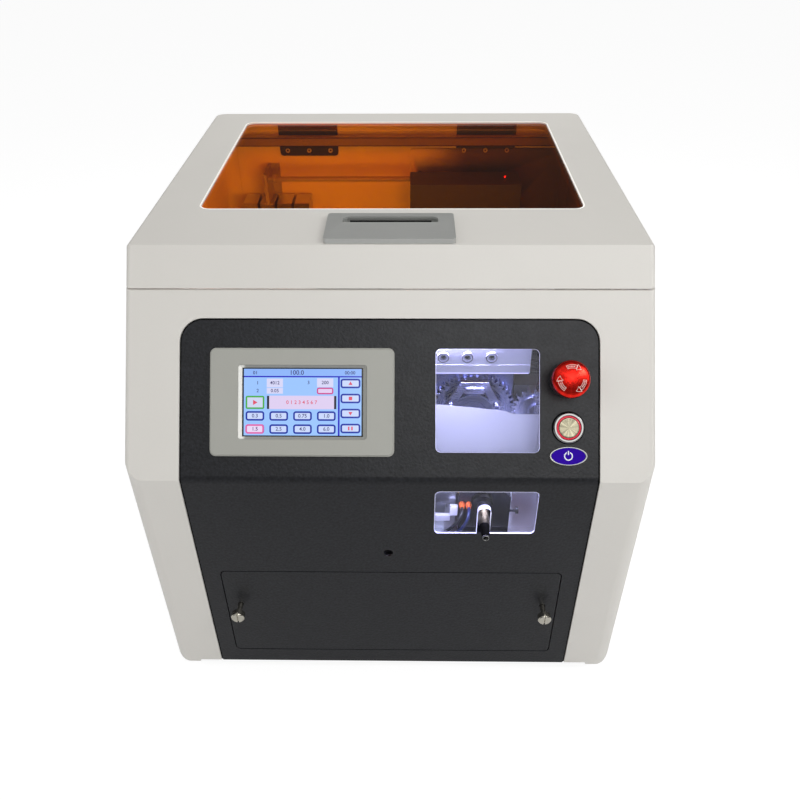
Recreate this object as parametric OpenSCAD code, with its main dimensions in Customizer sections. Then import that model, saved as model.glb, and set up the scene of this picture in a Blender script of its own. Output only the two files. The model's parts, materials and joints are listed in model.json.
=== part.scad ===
// Bench machine that strips a wire end and crimps a ferrule on it.
// Millimetres. X is across the machine, Y runs to the rear, Z is up.
// Every module is written in machine coordinates: x = 0 at mid width, y = 0 at the lower
// front face, z = 0 at the bottom of the case. at_origin() moves all of it to the part's frame.

/* [Case] */
// Width of the case
case_w = 430; // [380:1:520]
// Depth of the lid's flat top
lid_depth = 360; // [320:1:430]
// Height at which the front starts to lean back
fold_h = 243; // [235:1:300]
// Lean of the upper front, from upright
lean = 37.3; // [25:0.1:45]
// Length up the lean from the fold to the lid joint
joint_len = 154.4; // [148:0.1:200]
// Length up the lean from the fold to the lid's top edge
slope_len = 191.4; // [186:0.1:240]
// Thickness of the painted sheet
wall = 2; // [1.5:0.1:3]
// Radius of the lower front corners, seen from above
front_r = 15; // [6:0.5:24]
// Radius of the rear corners, seen from above
rear_r = 13; // [6:0.5:20]
// Radius of the bottom edges of the sides
bottom_r = 12; // [6:0.5:16]
// Radius of the leaning side edges
slope_r = 5; // [3:0.5:8]
// Gap between the body and the lid
joint_gap = 1; // [0.6:0.1:2]
// Height of a rubber foot
foot_h = 12; // [6:1:25]
// Radius of a rubber foot
foot_r = 15; // [10:0.5:22]

/* [Front panel] */
// Width of the dark panel
panel_w = 337.4; // [320:0.1:360]
// Length of the dark panel up the lean
panel_len = 130.6; // [126:0.1:160]
// Thickness of the dark panel
panel_t = 2; // [1.5:0.1:3]
// Radius of the panel's top corners
panel_r = 18; // [8:0.5:30]
// Gap round the panel
panel_gap = 1.2; // [0.6:0.1:2.5]
// Depth of the panel's face below the case's face
panel_set = 1; // [0.5:0.1:2]
// Width of the ledge that carries the panel
ledge_w = 9; // [6:0.5:14]
// Height of the upper window
win_h = 84; // [60:0.5:90]
// Width of the upper window
win_w = 84.2; // [60:0.1:90]
// Middle of the upper window, across
win_x = 79.7; // [76:0.1:84]
// Middle of the upper window, up the lean
win_v = 65.5; // [60:0.1:75]
// Width of the lower window
low_win_w = 85.5; // [60:0.1:90]
// Height of the lower window
low_win_h = 49; // [40:0.5:54]
// Bottom edge of the lower window
low_win_z = 182.4; // [180:0.1:188]
// Corner radius of the windows
win_r = 4.5; // [2:0.5:8]
// Thickness of the clear sheets
clear_t = 3; // [2:0.5:5]
// Width of the notch for the nozzle
notch_w = 11; // [10.5:0.1:14]

/* [Operator panel] */
// Width of the screen's frame
hmi_w = 148.8; // [140:0.1:156]
// Height of the screen's frame
hmi_h = 87.3; // [80:0.1:96]
// Middle of the screen's frame, across
hmi_x = -69.9; // [-80:0.1:-68]
// Middle of the screen's frame, up the lean
hmi_v = 63.9; // [60:0.1:75]
// Proud height of the screen's frame
hmi_out = 4; // [3:0.5:8]
// Width of the screen's glass
pocket_w = 103.2; // [90:0.1:110]
// Height of the screen's glass
pocket_h = 59.4; // [50:0.1:64]
// Middle of the controls at the right, across
ctrl_x = 142.5; // [140:0.1:146]
// Middle of the stop button, up the lean
stop_v = 82.3; // [76:0.1:90]
// Radius of the stop button's head
stop_r = 15; // [12:0.5:20]
// Travel of the stop button
stop_travel = 4.5; // [3:0.5:6]
// Middle of the power button, up the lean
power_v = 44; // [40:0.1:50]
// Radius of the power button's chrome ring
power_r = 12.6; // [12:0.1:15]
// Travel of the power button
power_travel = 2; // [1:0.5:3]

/* [Lid] */
// Width of the lid's window
lid_win_w = 342; // [280:1:350]
// Depth of the lid's window
lid_win_d = 251.6; // [200:0.1:260]
// Distance from the lid's top edge to its window
lid_win_y = 74.1; // [70:0.1:90]
// Width of the grip
grip_w = 107.8; // [90:0.1:140]
// Depth of the grip's plate
grip_d = 52; // [46:0.5:60]
// Height of the grip's ridge
grip_h = 6.3; // [5.5:0.1:9]
// Distance from the grip's front edge to its ridge
grip_ridge_y = 28.8; // [24:0.1:32]
// Width of the finger slot behind the ridge, front to rear
grip_slot_d = 16; // [12:0.5:18]
// Depth of the finger cup below the lid's top
grip_cup = 8; // [5:0.5:14]
// Width of a hinge
hinge_w = 71; // [50:1:90]
// Distance from mid width to the middle of a hinge
hinge_x = 107; // [90:1:140]
// Radius of a hinge's knuckles
knuckle_r = 3.2; // [2.8:0.1:4]

/* [Drawer] */
// Width of the drawer's front
door_w = 304.4; // [260:0.1:310]
// Height of the drawer's front
door_h = 112.7; // [90:0.1:116]
// Bottom edge of the drawer's front
door_z = 19.8; // [16:0.1:24]
// Gap round the drawer's front
door_gap = 0.8; // [0.5:0.1:1.5]
// Depth of the drawer's bin
bin_d = 220; // [150:1:240]
// Distance from the drawer front's side edge to a thumbscrew
thumb_in = 12.4; // [10:0.1:16]
// Height of the thumbscrews
thumb_z = 87.5; // [60:0.1:100]
// Radius of a thumbscrew's head
thumb_r = 6; // [4.5:0.1:7]
// Distance from the drawer's front to a thumbscrew's head
thumb_out = 10; // [5:0.5:12]

/* [Wire line] */
// Middle of the wire line, across
wire_x = 79.5; // [78:0.1:81]
// Height of the wire line
wire_z = 198; // [196:0.5:202]
// Radius of the nozzle's bore
wire_r = 1.5; // [1:0.1:2.2]
// Length of the nozzle in front of the case
nozzle_out = 17; // [12:0.5:24]
// Travel of a clamp jaw
jaw_travel = 2.6; // [1.5:0.1:3]
// Travel of the strip carriage
strip_travel = 16; // [8:1:20]
// Travel of a strip blade
blade_travel = 3.6; // [2:0.1:4]

/* [Crimp head] */
// Tooth size of the gears
gear_m = 2; // [1.5:0.5:2]
// Teeth on the crimp gear
gear_n = 40; // [40:1:42]
// Teeth on the drive pinion
pinion_n = 24; // [18:1:24]
// Turn of the crimp gear from open to closed
gear_turn = 20; // [10:1:22]
// Offset of a cam slot's centre from the gear's centre
cam_offset = 5.73; // [4:0.01:6]
// Radius at which the die pins sit when open
pin_at = 24; // [23.5:0.1:24.5]
// Radius of a die pin
die_pin_r = 2; // [1.5:0.1:2.2]

/* [Hidden] */
$fn = 48;

cream = "#dedcd6";
panel_grey = "#34353a";
frame_grey = "#a8a8a0";
grip_grey = "#96978f";
steel = "#b9bcc0";
dark_steel = "#3c3e44";
black = "#1c1c1f";
amber = "#c8640a90";
clear = "#d8e6f060";

// Running gap between pieces that move past each other, and between seated pieces
slip = 0.3;
eps = 0.5;
half_w = case_w / 2;
rise = cos(lean);
run = sin(lean);
joint_z = fold_h + joint_len * rise;
lid_z = fold_h + slope_len * rise;
lid_y = slope_len * run;
rear_y = lid_y + lid_depth;
inner_w = half_w - wall;

// Pieces that stand out furthest, which place the origin
tip_len = 2;
front_out = nozzle_out + tip_len;
inlet_out = 12;
origin_y = (rear_y + inlet_out - front_out) / 2;

// A point at depth d behind the front's skin: on the fold, or at length v up the lean
function fold_point(d) = [d, fold_h - d * tan(lean / 2)];
function slope_point(v, d) = [v * run + d * rise, fold_h + v * rise - d * run];

module at_origin() translate([0, -origin_y, foot_h]) children();

// Local frames: x across, y up the face, z out of the face
module on_slope() translate([0, 0, fold_h]) rotate([90 - lean, 0, 0]) children();
module on_front() rotate([90, 0, 0]) children();
module on_wire(y) translate([wire_x, y, wire_z]) rotate([90, 0, 0]) children();

// A side profile drawn in Y and Z, extruded along X between two places
module across(x0, x1) translate([x0, 0, 0]) rotate([90, 0, 90]) linear_extrude(x1 - x0) children();

// A shape drawn in the local plane, extruded between two heights
module between(z0, z1) translate([0, 0, z0]) linear_extrude(z1 - z0) children();

module rounded_rect(w, h, r) {
    square([w - 2 * r, h], center = true);
    square([w, h - 2 * r], center = true);
    for (x = [-1, 1], y = [-1, 1]) translate([x * (w / 2 - r), y * (h / 2 - r)]) circle(r);
}

// The same thing on the right and, mirrored, on the left
module both_sides() {
    children();
    mirror([1, 0, 0]) children();
}

module block(x0, x1, y0, y1, z0, z1) translate([x0, y0, z0]) cube([x1 - x0, y1 - y0, z1 - z0]);

module ring(r_out, r_in, z0, z1) between(z0, z1) difference() {
    circle(r_out);
    circle(r_in);
}

// What is left of a square corner outside its radius, to cut the corner round
module corner_cut(r) difference() {
    translate([-r, -r]) square(r + eps);
    translate([-r, -r]) circle(r);
}

// Outline of the case from above, with its own radius front and rear
module plan_outline(inset) {
    w = half_w - inset;
    y0 = inset;
    y1 = rear_y - inset;
    difference() {
        translate([-w, y0]) square([2 * w, y1 - y0]);
        both_sides() {
            translate([w, y0]) mirror([0, 1]) corner_cut(front_r - inset);
            translate([w, y1]) corner_cut(rear_r - inset);
        }
    }
}

// The leaning block that shapes the upper front, with round edges along the lean
module slope_block(inset) on_slope() rotate([-90, 0, 0]) translate([0, 0, -fold_h * 2])
    linear_extrude(fold_h * 4) difference() {
        translate([-half_w + inset, inset]) square([case_w - 2 * inset, rear_y * 2]);
        both_sides() translate([half_w - inset, inset]) mirror([0, 1]) corner_cut(slope_r - inset);
    }

// Cross-section of the body: round bottom edges
module section_outline(inset) {
    w = half_w - inset;
    top = lid_z * 2;
    difference() {
        translate([-w, inset]) square([2 * w, top]);
        both_sides() translate([w, inset]) mirror([0, 1]) corner_cut(bottom_r - inset);
    }
}

module case_form(inset, z0, z1) intersection() {
    between(z0, z1) plan_outline(inset);
    slope_block(inset);
    translate([0, rear_y * 1.5, 0]) rotate([90, 0, 0]) linear_extrude(rear_y * 2)
        section_outline(inset);
}

// A bent band that follows the front between two depths
module front_band(d0, d1, w, z0, v1) across(-w / 2, w / 2)
    polygon([[d0, z0], fold_point(d0), slope_point(v1, d0), slope_point(v1, d1), fold_point(d1), [d1, z0]]);

// The panel's form, grown by g, from depth d0 to d1
module panel_form(g, d0, d1, z0) difference() {
    front_band(d0, d1, panel_w + 2 * g, z0, panel_len + g);
    both_sides() on_slope() translate([panel_w / 2 + g, panel_len + g, -d1 - eps])
        linear_extrude(d1 - d0 + 2 * eps) corner_cut(panel_r + g);
}

// Case
lip_w = 24;
rim_w = 10;
rear_open_w = case_w - 2 * (rear_r + 6);
leaf_t = 1.6;
hinge_gap = 0.5;
pin_z = joint_z + joint_gap / 2;

module hinge_slots(z0, z1) both_sides()
    block(hinge_x - hinge_w / 2 - hinge_gap, hinge_x + hinge_w / 2 + hinge_gap,
        rear_y - wall - eps, rear_y + eps, z0, z1);

// Sides and front frame, one folded sheet with a ledge behind the panel
module outer_shell() color(cream) {
    difference() {
        case_form(0, 0, joint_z);
        difference() {
            case_form(wall, wall, joint_z + 1);
            both_sides() block(inner_w - rim_w, half_w, lid_y, rear_y, joint_z - wall, joint_z + 2);
        }
        panel_form(panel_gap, -eps, wall + eps, -eps);
        block(-half_w + lip_w, half_w - lip_w, -eps, rear_y + eps, -eps, wall + eps);
        block(-rear_open_w / 2, rear_open_w / 2, rear_y - wall - eps, rear_y + eps, -eps, joint_z + eps);
    }
    difference() {
        panel_form(ledge_w, wall, panel_set + panel_t + wall, wall);
        panel_form(panel_gap, wall - eps, panel_set + panel_t, 0);
        panel_form(-ledge_w, wall, panel_set + panel_t + wall + eps, 0);
    }
}

// Windows and controls are cut in the panel
window_lap = 4;
low_win_mid = low_win_z + low_win_h / 2;
notch_top = low_win_z + low_win_h * 0.61;
hmi_body_w = hmi_w - 12;
hmi_body_h = hmi_h - 10;
stop_body_r = 11;
power_body_r = 11;
power_x = ctrl_x + 1.9;
probe_hole_x = -1.6;
probe_hole_z = 158;
probe_hole_r = 4;
door_mid_z = door_z + door_h / 2;
thumb_x = door_w / 2 - thumb_in;
thumb_neck_r = 2.4;
catch_y = 6;
catch_t = 3;
catch_half = 9;
catch_lap = 7;
catch_foot = 2.5;

module control_holes(r_stop, r_power) on_slope() translate([0, 0, -20]) {
    translate([ctrl_x, stop_v, 0]) cylinder(r = r_stop, h = 40);
    translate([power_x, power_v, 0]) cylinder(r = r_power, h = 40);
}

// Dark steel panel, bent at the fold, with welded catch tabs for the drawer's screws
module front_panel() color(panel_grey) {
    depth = panel_set + panel_t;
    difference() {
        panel_form(0, panel_set, depth, 1);
        on_slope() between(-10, 10) {
            translate([win_x, win_v]) rounded_rect(win_w, win_h, win_r);
            translate([hmi_x, hmi_v]) square([hmi_body_w + 2 * slip, hmi_body_h + 2 * slip], center = true);
        }
        on_front() between(-10, 10) {
            translate([win_x + 0.65, low_win_mid]) rounded_rect(low_win_w, low_win_h, win_r);
            translate([0, door_mid_z])
                rounded_rect(door_w + 2 * door_gap, door_h + 2 * door_gap, win_r + door_gap);
        }
        control_holes(stop_body_r + slip, power_body_r + slip);
        translate([probe_hole_x, -10, probe_hole_z]) rotate([-90, 0, 0]) cylinder(r = probe_hole_r, h = 20);
    }
    both_sides() difference() {
        union() {
            block(thumb_x - catch_lap, door_w / 2 + catch_lap, catch_y, catch_y + catch_t,
                thumb_z - catch_half, thumb_z + catch_half);
            block(door_w / 2 + catch_foot, door_w / 2 + catch_lap, depth, catch_y,
                thumb_z - catch_half, thumb_z + catch_half);
        }
        translate([thumb_x, 0, thumb_z]) rotate([-90, 0, 0]) cylinder(r = thumb_neck_r + slip, h = 30);
    }
}

base_top = wall + wall;

module base_plate() color(steel) difference() {
    block(-half_w + front_r, half_w - front_r, panel_set + panel_t + wall, rear_y - wall - 4, wall, base_top);
    for (i = [0 : 8]) block(-70 + i * 16, -64 + i * 16, 300, 350, 0, 10);
}

// Rear cover with louvres, a fan grille, the inlet's cut-out and a stiffener behind the joint
rear_w = rear_open_w - 2 * slip;
rear_bottom = base_top;
fan_x = 118;
fan_z = 120;
fan_size = 80;
fan_depth = 25;
inlet_x = -140;
inlet_z = 42;
inlet_w = 27.5;
inlet_h = 20;
louvre_n = 8;
louvre_pitch = 14;
stiff_d = 8;
stiff_down = 5.3;
stiff_up = 5.5;
stiff_foot = 6;
stiff_front = rear_y - wall - leaf_t - 1 - stiff_d;

module rear_panel() color(cream) difference() {
    union() {
        block(-rear_w / 2, rear_w / 2, rear_y - wall, rear_y, rear_bottom, joint_z);
        block(-rear_w / 2, rear_w / 2, rear_y - 14, rear_y - wall, rear_bottom, rear_bottom + wall);
        for (i = [0 : louvre_n - 1]) block(-110, -10, rear_y - wall - 4, rear_y - wall,
            94 + i * louvre_pitch + 5, 96 + i * louvre_pitch + 5);
        block(-rear_w / 2, rear_w / 2, stiff_front, stiff_front + stiff_d,
            joint_z - stiff_down, joint_z + stiff_up);
        for (x = [-rear_w / 2, -hinge_x / 2, hinge_x / 2 - stiff_foot, rear_w / 2 - stiff_foot])
            block(x, x + stiff_foot, stiff_front + stiff_d, rear_y - wall, joint_z - stiff_down, joint_z);
    }
    for (i = [0 : louvre_n - 1]) block(-108, -12, rear_y - wall - eps, rear_y + eps,
        94 + i * louvre_pitch, 99 + i * louvre_pitch);
    for (i = [-3 : 3]) {
        half = sqrt(pow(36, 2) - pow(i * 10, 2));
        block(fan_x - half, fan_x + half, rear_y - wall - eps, rear_y + eps,
            fan_z + i * 10 - 3, fan_z + i * 10 + 3);
    }
    block(inlet_x - inlet_w / 2 - slip, inlet_x + inlet_w / 2 + slip, rear_y - wall - eps, rear_y + eps,
        inlet_z - inlet_h / 2 - slip, inlet_z + inlet_h / 2 + slip);
    hinge_slots(pin_z - knuckle_r - hinge_gap, joint_z + eps);
    translate([-60, rear_y + eps, 42]) rotate([90, 0, 0]) cylinder(r = 6.3, h = 20);
}

foot_x = half_w - 45;
foot_y0 = 50;
foot_y1 = rear_y - 45;

module feet() color(black) for (x = [-foot_x, foot_x], y = [foot_y0, foot_y1])
    translate([x, y, -foot_h]) rotate_extrude() polygon([[0, 0], [foot_r - 3, 0], [foot_r - 1.5, 1.5],
        [foot_r, foot_h], [6, foot_h], [6, foot_h + wall], [0, foot_h + wall]]);
// Clear windows: a plug fills the cut-out and a wider flange sits behind the panel
module clear_sheet(w, h) {
    between(-panel_set - panel_t, -panel_set - 0.2) rounded_rect(w - 2 * slip, h - 2 * slip, win_r - slip);
    between(-panel_set - panel_t - clear_t, -panel_set - panel_t)
        rounded_rect(w + 2 * window_lap, h + 2 * window_lap, win_r);
}

module upper_window() color(clear) on_slope() translate([win_x, win_v, 0]) clear_sheet(win_w, win_h);

module lower_window() color(clear) on_front() difference() {
    translate([win_x + 0.65, low_win_mid, 0]) clear_sheet(low_win_w, low_win_h);
    between(-20, 5) {
        translate([wire_x - notch_w / 2, 0]) square([notch_w, notch_top - notch_w / 2]);
        translate([wire_x, notch_top - notch_w / 2]) circle(notch_w / 2);
    }
}

// Screen: a moulded frame with the body behind the panel, and the glass in its pocket
display_x = hmi_x + 0.5;
glass_t = 1.6;
pocket_z = hmi_out - 2;

module screen_frame() color(frame_grey) on_slope() difference() {
    union() {
        translate([hmi_x, hmi_v, 0]) {
            between(-panel_set, hmi_out - 1.5) rounded_rect(hmi_w, hmi_h, 5);
            between(hmi_out - 1.5, hmi_out) rounded_rect(hmi_w - 2, hmi_h - 2, 4);
            between(-30, -panel_set) square([hmi_body_w, hmi_body_h], center = true);
        }
    }
    translate([display_x, hmi_v, 0]) between(pocket_z - glass_t, hmi_out + eps)
        rounded_rect(pocket_w, pocket_h, 2);
}

module screen_glass() color("#9fc3e8") on_slope() translate([display_x, hmi_v, 0])
    between(pocket_z - glass_t, pocket_z) rounded_rect(pocket_w - 2 * slip, pocket_h - 2 * slip, 1.7);

// Stop button: a collar fixed in the panel, a stem that plunges and a head that twists on it
stop_stem_r = 7.7;
spigot_r = 5;
collar_out = 5;
head_low = collar_out + stop_travel + 0.5;
head_top = 26;

module stop_collar() color(black) on_slope() translate([ctrl_x, stop_v, 0]) {
    ring(stop_r - 1, stop_stem_r + slip, -panel_set, collar_out);
    ring(stop_body_r, stop_stem_r + slip, -24, -panel_set);
    between(-26, -24) circle(stop_body_r);
}

module stop_stem() color(steel) on_slope() translate([ctrl_x, stop_v, 0]) {
    between(-24 + stop_travel + 1, head_low - 0.3) circle(stop_stem_r);
    between(head_low - 0.3, head_top - 8) circle(spigot_r);
}

module stop_head() color("#b3231f") on_slope() translate([ctrl_x, stop_v, 0]) rotate_extrude()
    difference() {
        polygon([[spigot_r + 0.08, head_low], [stop_r - 3, head_low], [stop_r - 0.8, head_low + 3],
            [stop_r, head_low + 6], [stop_r, head_top - 6], [stop_r - 1, head_top - 3],
            [stop_r - 4, head_top - 0.8], [stop_r - 8, head_top], [0, head_top],
            [0, head_top - 7.7], [spigot_r + 0.08, head_top - 7.7]]);
    }

button_r = 9.6;
spring_room = 6;

module power_bezel() color(steel) on_slope() translate([power_x, power_v, 0]) {
    rotate_extrude() polygon([[button_r + slip, -panel_set], [power_r, -panel_set],
        [power_r, 1.4], [power_r - 1, 2.4], [button_r + slip, 2.4]]);
    ring(power_body_r - slip, button_r + slip, -24, -panel_set);
    between(-26, -24) circle(power_body_r - slip);
}

module power_button() color("#c9c9c9") on_slope() translate([power_x, power_v, 0])
    between(power_travel + spring_room - 24, 3) circle(button_r);

// Nozzle: a black guide with a funnel ring at its mouth
nozzle_r = wire_r + 3.1;
nozzle_tip_r = wire_r + 1.5;
clamp_y = 26;
nozzle_flange = 9;

module wire_nozzle() color(black) on_wire(0) difference() {
    rotate_extrude() polygon([[wire_r, -clamp_y], [nozzle_flange, -clamp_y], [nozzle_flange, -clamp_y + 5],
        [nozzle_r, -clamp_y + 7], [nozzle_r, 2], [nozzle_tip_r, nozzle_out], [wire_r, nozzle_out]]);
}

module nozzle_tip() color(steel) on_wire(0) rotate_extrude()
    polygon([[wire_r, nozzle_out], [nozzle_tip_r, nozzle_out], [nozzle_tip_r, nozzle_out + 1.4],
        [nozzle_tip_r - 0.4, nozzle_out + tip_len], [wire_r + 0.8, nozzle_out + tip_len]]);

// Deck: a plate on folded legs across the middle of the machine
deck_gap = 7;
deck_w = half_w - deck_gap;
deck_y0 = 14;
deck_y1 = 262;
deck_t = 8;
deck_clear = 6;
deck_top = wire_z - gear_m * (gear_n + 2) / 2 - deck_clear;

module mech_deck() color(steel) {
    block(-deck_w, deck_w, deck_y0, deck_y1, deck_top - deck_t, deck_top);
    both_sides() block(half_w - front_r - 3, half_w - front_r, deck_y0 + 20, deck_y1,
        base_top, deck_top - deck_t);
    block(-half_w + front_r + 3, half_w - front_r - 3, deck_y1 - 3, deck_y1, base_top, deck_top - deck_t);
}

// Feeder frame: two uprights and a cross plate that carries the beam
beam_y = 78;
beam_d = 20;
beam_z0 = 296.6;
beam_z1 = 326;
beam_x1 = 117.7;
frame_x0 = 3;
frame_x1 = 150;
upright_t = 10;

module feeder_frame() color("#d6d6da") {
    block(frame_x0, frame_x0 + upright_t, beam_y, beam_y + beam_d + 12, deck_top, beam_z1);
    block(frame_x1 - upright_t, frame_x1, beam_y, beam_y + beam_d + 12, deck_top, beam_z1);
    block(frame_x0 + upright_t, frame_x1 - upright_t, beam_y + beam_d, beam_y + beam_d + 8, beam_z0, beam_z1);
}

screw_x = [44.6, 64.6, 84.7];
screw_z = 312.3;
screw_r = 5;
screw_h = 6;

module top_beam() color("#e4e4ea") difference() {
    across(frame_x0 + upright_t, beam_x1) polygon([[beam_y, 304.5], [beam_y, beam_z1],
        [beam_y + beam_d, beam_z1], [beam_y + beam_d, beam_z0], [beam_y - 1, beam_z0], [beam_y - 1, 304.5]]);
    for (x = screw_x) translate([x, beam_y - 5, screw_z]) rotate([-90, 0, 0])
        cylinder(r = screw_r + slip, h = 5 + 4);
}

module socket_screw(r, h) difference() {
    cylinder(r = r, h = h);
    translate([0, 0, h - 3]) cylinder(r = r * 0.55, h = 4, $fn = 6);
}

module socket_screws() color(steel) {
    for (x = screw_x) translate([x, beam_y + 4, screw_z]) rotate([90, 0, 0]) socket_screw(screw_r, screw_h);
    both_sides() for (i = [-1, 0, 1]) {
        translate([hinge_x + i * 26, rear_y - wall - leaf_t, joint_z - 13]) rotate([90, 0, 0])
            socket_screw(2.6, 1.8);
    }
}

// Guard behind the upper window, on four posts from the panel, its top edge falling to the right
guard_depth = 30;
guard_t = 1.5;

module inner_guard() color("#e8e8f0") on_slope() {
    between(-guard_depth - guard_t, -guard_depth) polygon([[24, -2], [132, -2], [132, 54.6], [112, 54.6],
        [103, 55.2], [97, 57.4], [68, 60.4], [24, 64]]);
    for (x = [28, 130], v = [6, 50]) translate([x, v, -guard_depth])
        cylinder(r = 2.4, h = guard_depth - panel_set - panel_t);
}

// Gear outline with involute flanks, thinned by the backlash
gear_t = 6;
backlash = 0.12;
press_angle = 20;
function involute(a) = tan(a) * 180 / PI - a;
function tooth_half(n, r) = let (rb = gear_m * n * cos(press_angle) / 2)
    90 / n + involute(press_angle) - involute(acos(min(1, rb / r))) - backlash / r * 180 / PI;
function polar(r, a) = [r * cos(a), r * sin(a)];
function gear_outline(n) = let (rp = gear_m * n / 2, rf = rp - 1.25 * gear_m, ra = rp + gear_m,
    rb = max(rf, rp * cos(press_angle)), radii = [rf, rp, ra],
    half = [tooth_half(n, rb), tooth_half(n, rp), tooth_half(n, ra)])
    [for (k = [0 : n - 1], i = [0 : 5]) let (j = i < 3 ? i : 5 - i)
        polar(radii[j], k * 360 / n + (i < 3 ? -half[j] : half[j]))];

// Crimp head, along the wire line
gear_back = 162;
housing_front = gear_back + 1;
die_w = 8;
die_depth = 8;
slot_depth = die_depth + 0.9;
housing_t = 18;
rib_r0 = 32.3;
rib_r1 = 35.9;
rib_len = 2.8;
die_tip = 3.1;
die_end = 29;
wire_way = 4;
hub_r = 22;
hub_t = 5;
gear_front = gear_back - gear_t;
pinion_at = gear_m * (gear_n + pinion_n) / 2;
cam_r = sqrt(pow(pin_at, 2) + pow(cam_offset, 2));
cam_half = die_pin_r + 0.35;

// One cam slot: a stretch of a circle that lies off the gear's centre, so that it draws a pin in
function cam_reach(a) = cam_offset * sin(a) + sqrt(pow(cam_r, 2) - pow(cam_offset * cos(a), 2));
module cam_slot() {
    end = polar(cam_reach(-gear_turn), -gear_turn);
    a_end = atan2(end[1] - cam_offset, end[0]);
    a_start = atan2(-cam_offset, pin_at);
    intersection() {
        translate([0, cam_offset]) difference() {
            circle(cam_r + cam_half);
            circle(cam_r - cam_half);
        }
        translate([0, cam_offset]) polygon([[0, 0], polar(2 * cam_r, a_end), polar(2 * cam_r, a_start)]);
    }
    translate([pin_at, 0]) circle(cam_half);
    translate(end) circle(cam_half);
}

module crimp_gear() color(dark_steel) on_wire(gear_back) {
    difference() {
        union() {
            between(0, gear_t) polygon(gear_outline(gear_n));
            between(gear_t, gear_t + hub_t) circle(hub_r);
        }
        translate([0, 0, -1]) linear_extrude(gear_t + hub_t + 2) circle(wire_way);
        between(-1, gear_t + eps) for (a = [0, 90, 180, 270]) rotate(a) cam_slot();
    }
    ring(rib_r1, rib_r0, -1 - rib_len, 0);
}

arch_x = 22.8;
arch_z = 10.5;
arch_top = 39;
arch_arm = 4.4;
arch_t = 4;
arch_half = 13;
arch_in = 8.4;
arch_bar = 7.5;
stop_half = 9;
stop_z0 = arch_top - 12.5;
stop_z1 = arch_top - 5.5;

// Lever in front of the crimp gear: an arch screwed to the gear's hub, with a stop block under its top
module arch_lever() color(steel) on_wire(gear_front - hub_t) {
    x = arch_x + arch_arm;
    between(0, arch_t) {
        polygon([[-x, arch_z], [-arch_half, arch_top], [arch_half, arch_top], [x, arch_z],
            [x - 2 * arch_arm, arch_z], [arch_in, arch_top - arch_bar], [-arch_in, arch_top - arch_bar],
            [2 * arch_arm - x, arch_z]]);
        for (s = [-arch_x, arch_x]) translate([s, arch_z]) circle(arch_arm + 0.6);
        translate([-stop_half - 1, stop_z0 - 0.5]) square([2 * stop_half + 2, stop_z1 - stop_z0 + 1]);
    }
    block(-stop_half, stop_half, stop_z0, stop_z1, arch_t, arch_t + 2);
    for (s = [-arch_x, arch_x]) translate([s, arch_z, arch_t]) socket_screw(arch_arm - 0.6, 3);
}

pinion_face_r = 18;
pinion_hub_r = 9;
pinion_shaft_r = 5;

module crimp_pinion() color(steel) on_wire(gear_back) translate([pinion_at, 0, 0]) {
    between(0, gear_t) rotate(180 / pinion_n) polygon(gear_outline(pinion_n));
    between(gear_t, gear_t + 2) circle(pinion_face_r);
    between(gear_t + 2, gear_t + hub_t) circle(pinion_hub_r);
    between(-14, 0) circle(pinion_shaft_r);
}

housing_w = 78;
housing_h = 88;
module crimp_housing() color(dark_steel) on_wire(housing_front) difference() {
    between(-housing_t, 0) translate([-housing_w / 2, deck_top - wire_z]) square([housing_w, housing_h]);
    between(-slot_depth, eps) {
        square([2 * die_end + 4, die_w + 2 * slip], center = true);
        square([die_w + 2 * slip, 2 * die_end + 4], center = true);
    }
    ring(rib_r1 + slip, rib_r0 - slip, -rib_len - slip, eps);
    between(-housing_t - eps, 0) circle(5);
}

// A crimp die lies along +x of its own frame; its pin runs in a cam slot
module die(turn) on_wire(housing_front) rotate([0, 0, turn]) {
    between(-slot_depth + slip, -slip) polygon([[die_tip, -0.8], [die_tip + 3.2, -die_w / 2],
        [die_end, -die_w / 2], [die_end, die_w / 2], [die_tip + 3.2, die_w / 2], [die_tip, 0.8]]);
    translate([pin_at, 0, -slip]) cylinder(r = die_pin_r, h = 1 + gear_t - 1);
}

module die_right() color(steel) die(0);
module die_top() color(steel) die(90);
module die_left() color(steel) die(180);
module die_bottom() color(steel) die(270);

motor_w = 48;
module crimp_motor() color(black) {
    x = wire_x + pinion_at;
    y = housing_front + 1.5;
    difference() {
        union() {
            block(x - motor_w / 2 + 0.5, x + motor_w / 2, y, y + 20,
                wire_z - motor_w / 2, wire_z + motor_w / 2);
            translate([x, y + 20, wire_z]) rotate([-90, 0, 0]) cylinder(r = motor_w / 2 - 2, h = 56);
            for (i = [0 : 5]) translate([x, y + 24 + i * 9, wire_z]) rotate([-90, 0, 0])
                cylinder(r = motor_w / 2, h = 4);
        }
        translate([x, y - eps, wire_z]) rotate([-90, 0, 0]) cylinder(r = pinion_shaft_r + 0.06, h = 16);
    }
    for (s = [-18, 14]) block(x + s, x + s + 4, y + 2, y + 18, deck_top, wire_z - motor_w / 2);
}

// Wire clamp: a black block with a cross groove for two jaws, closed by an air cylinder
block_x0 = wire_x - 20;
block_x1 = wire_x + 25;
clamp_len = 36;
jaw_y0 = clamp_y + 14;
jaw_y1 = jaw_y0 + 12;
jaw_z0 = wire_z - 8;
jaw_z1 = wire_z + 8;
block_top = wire_z + 12;

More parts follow.
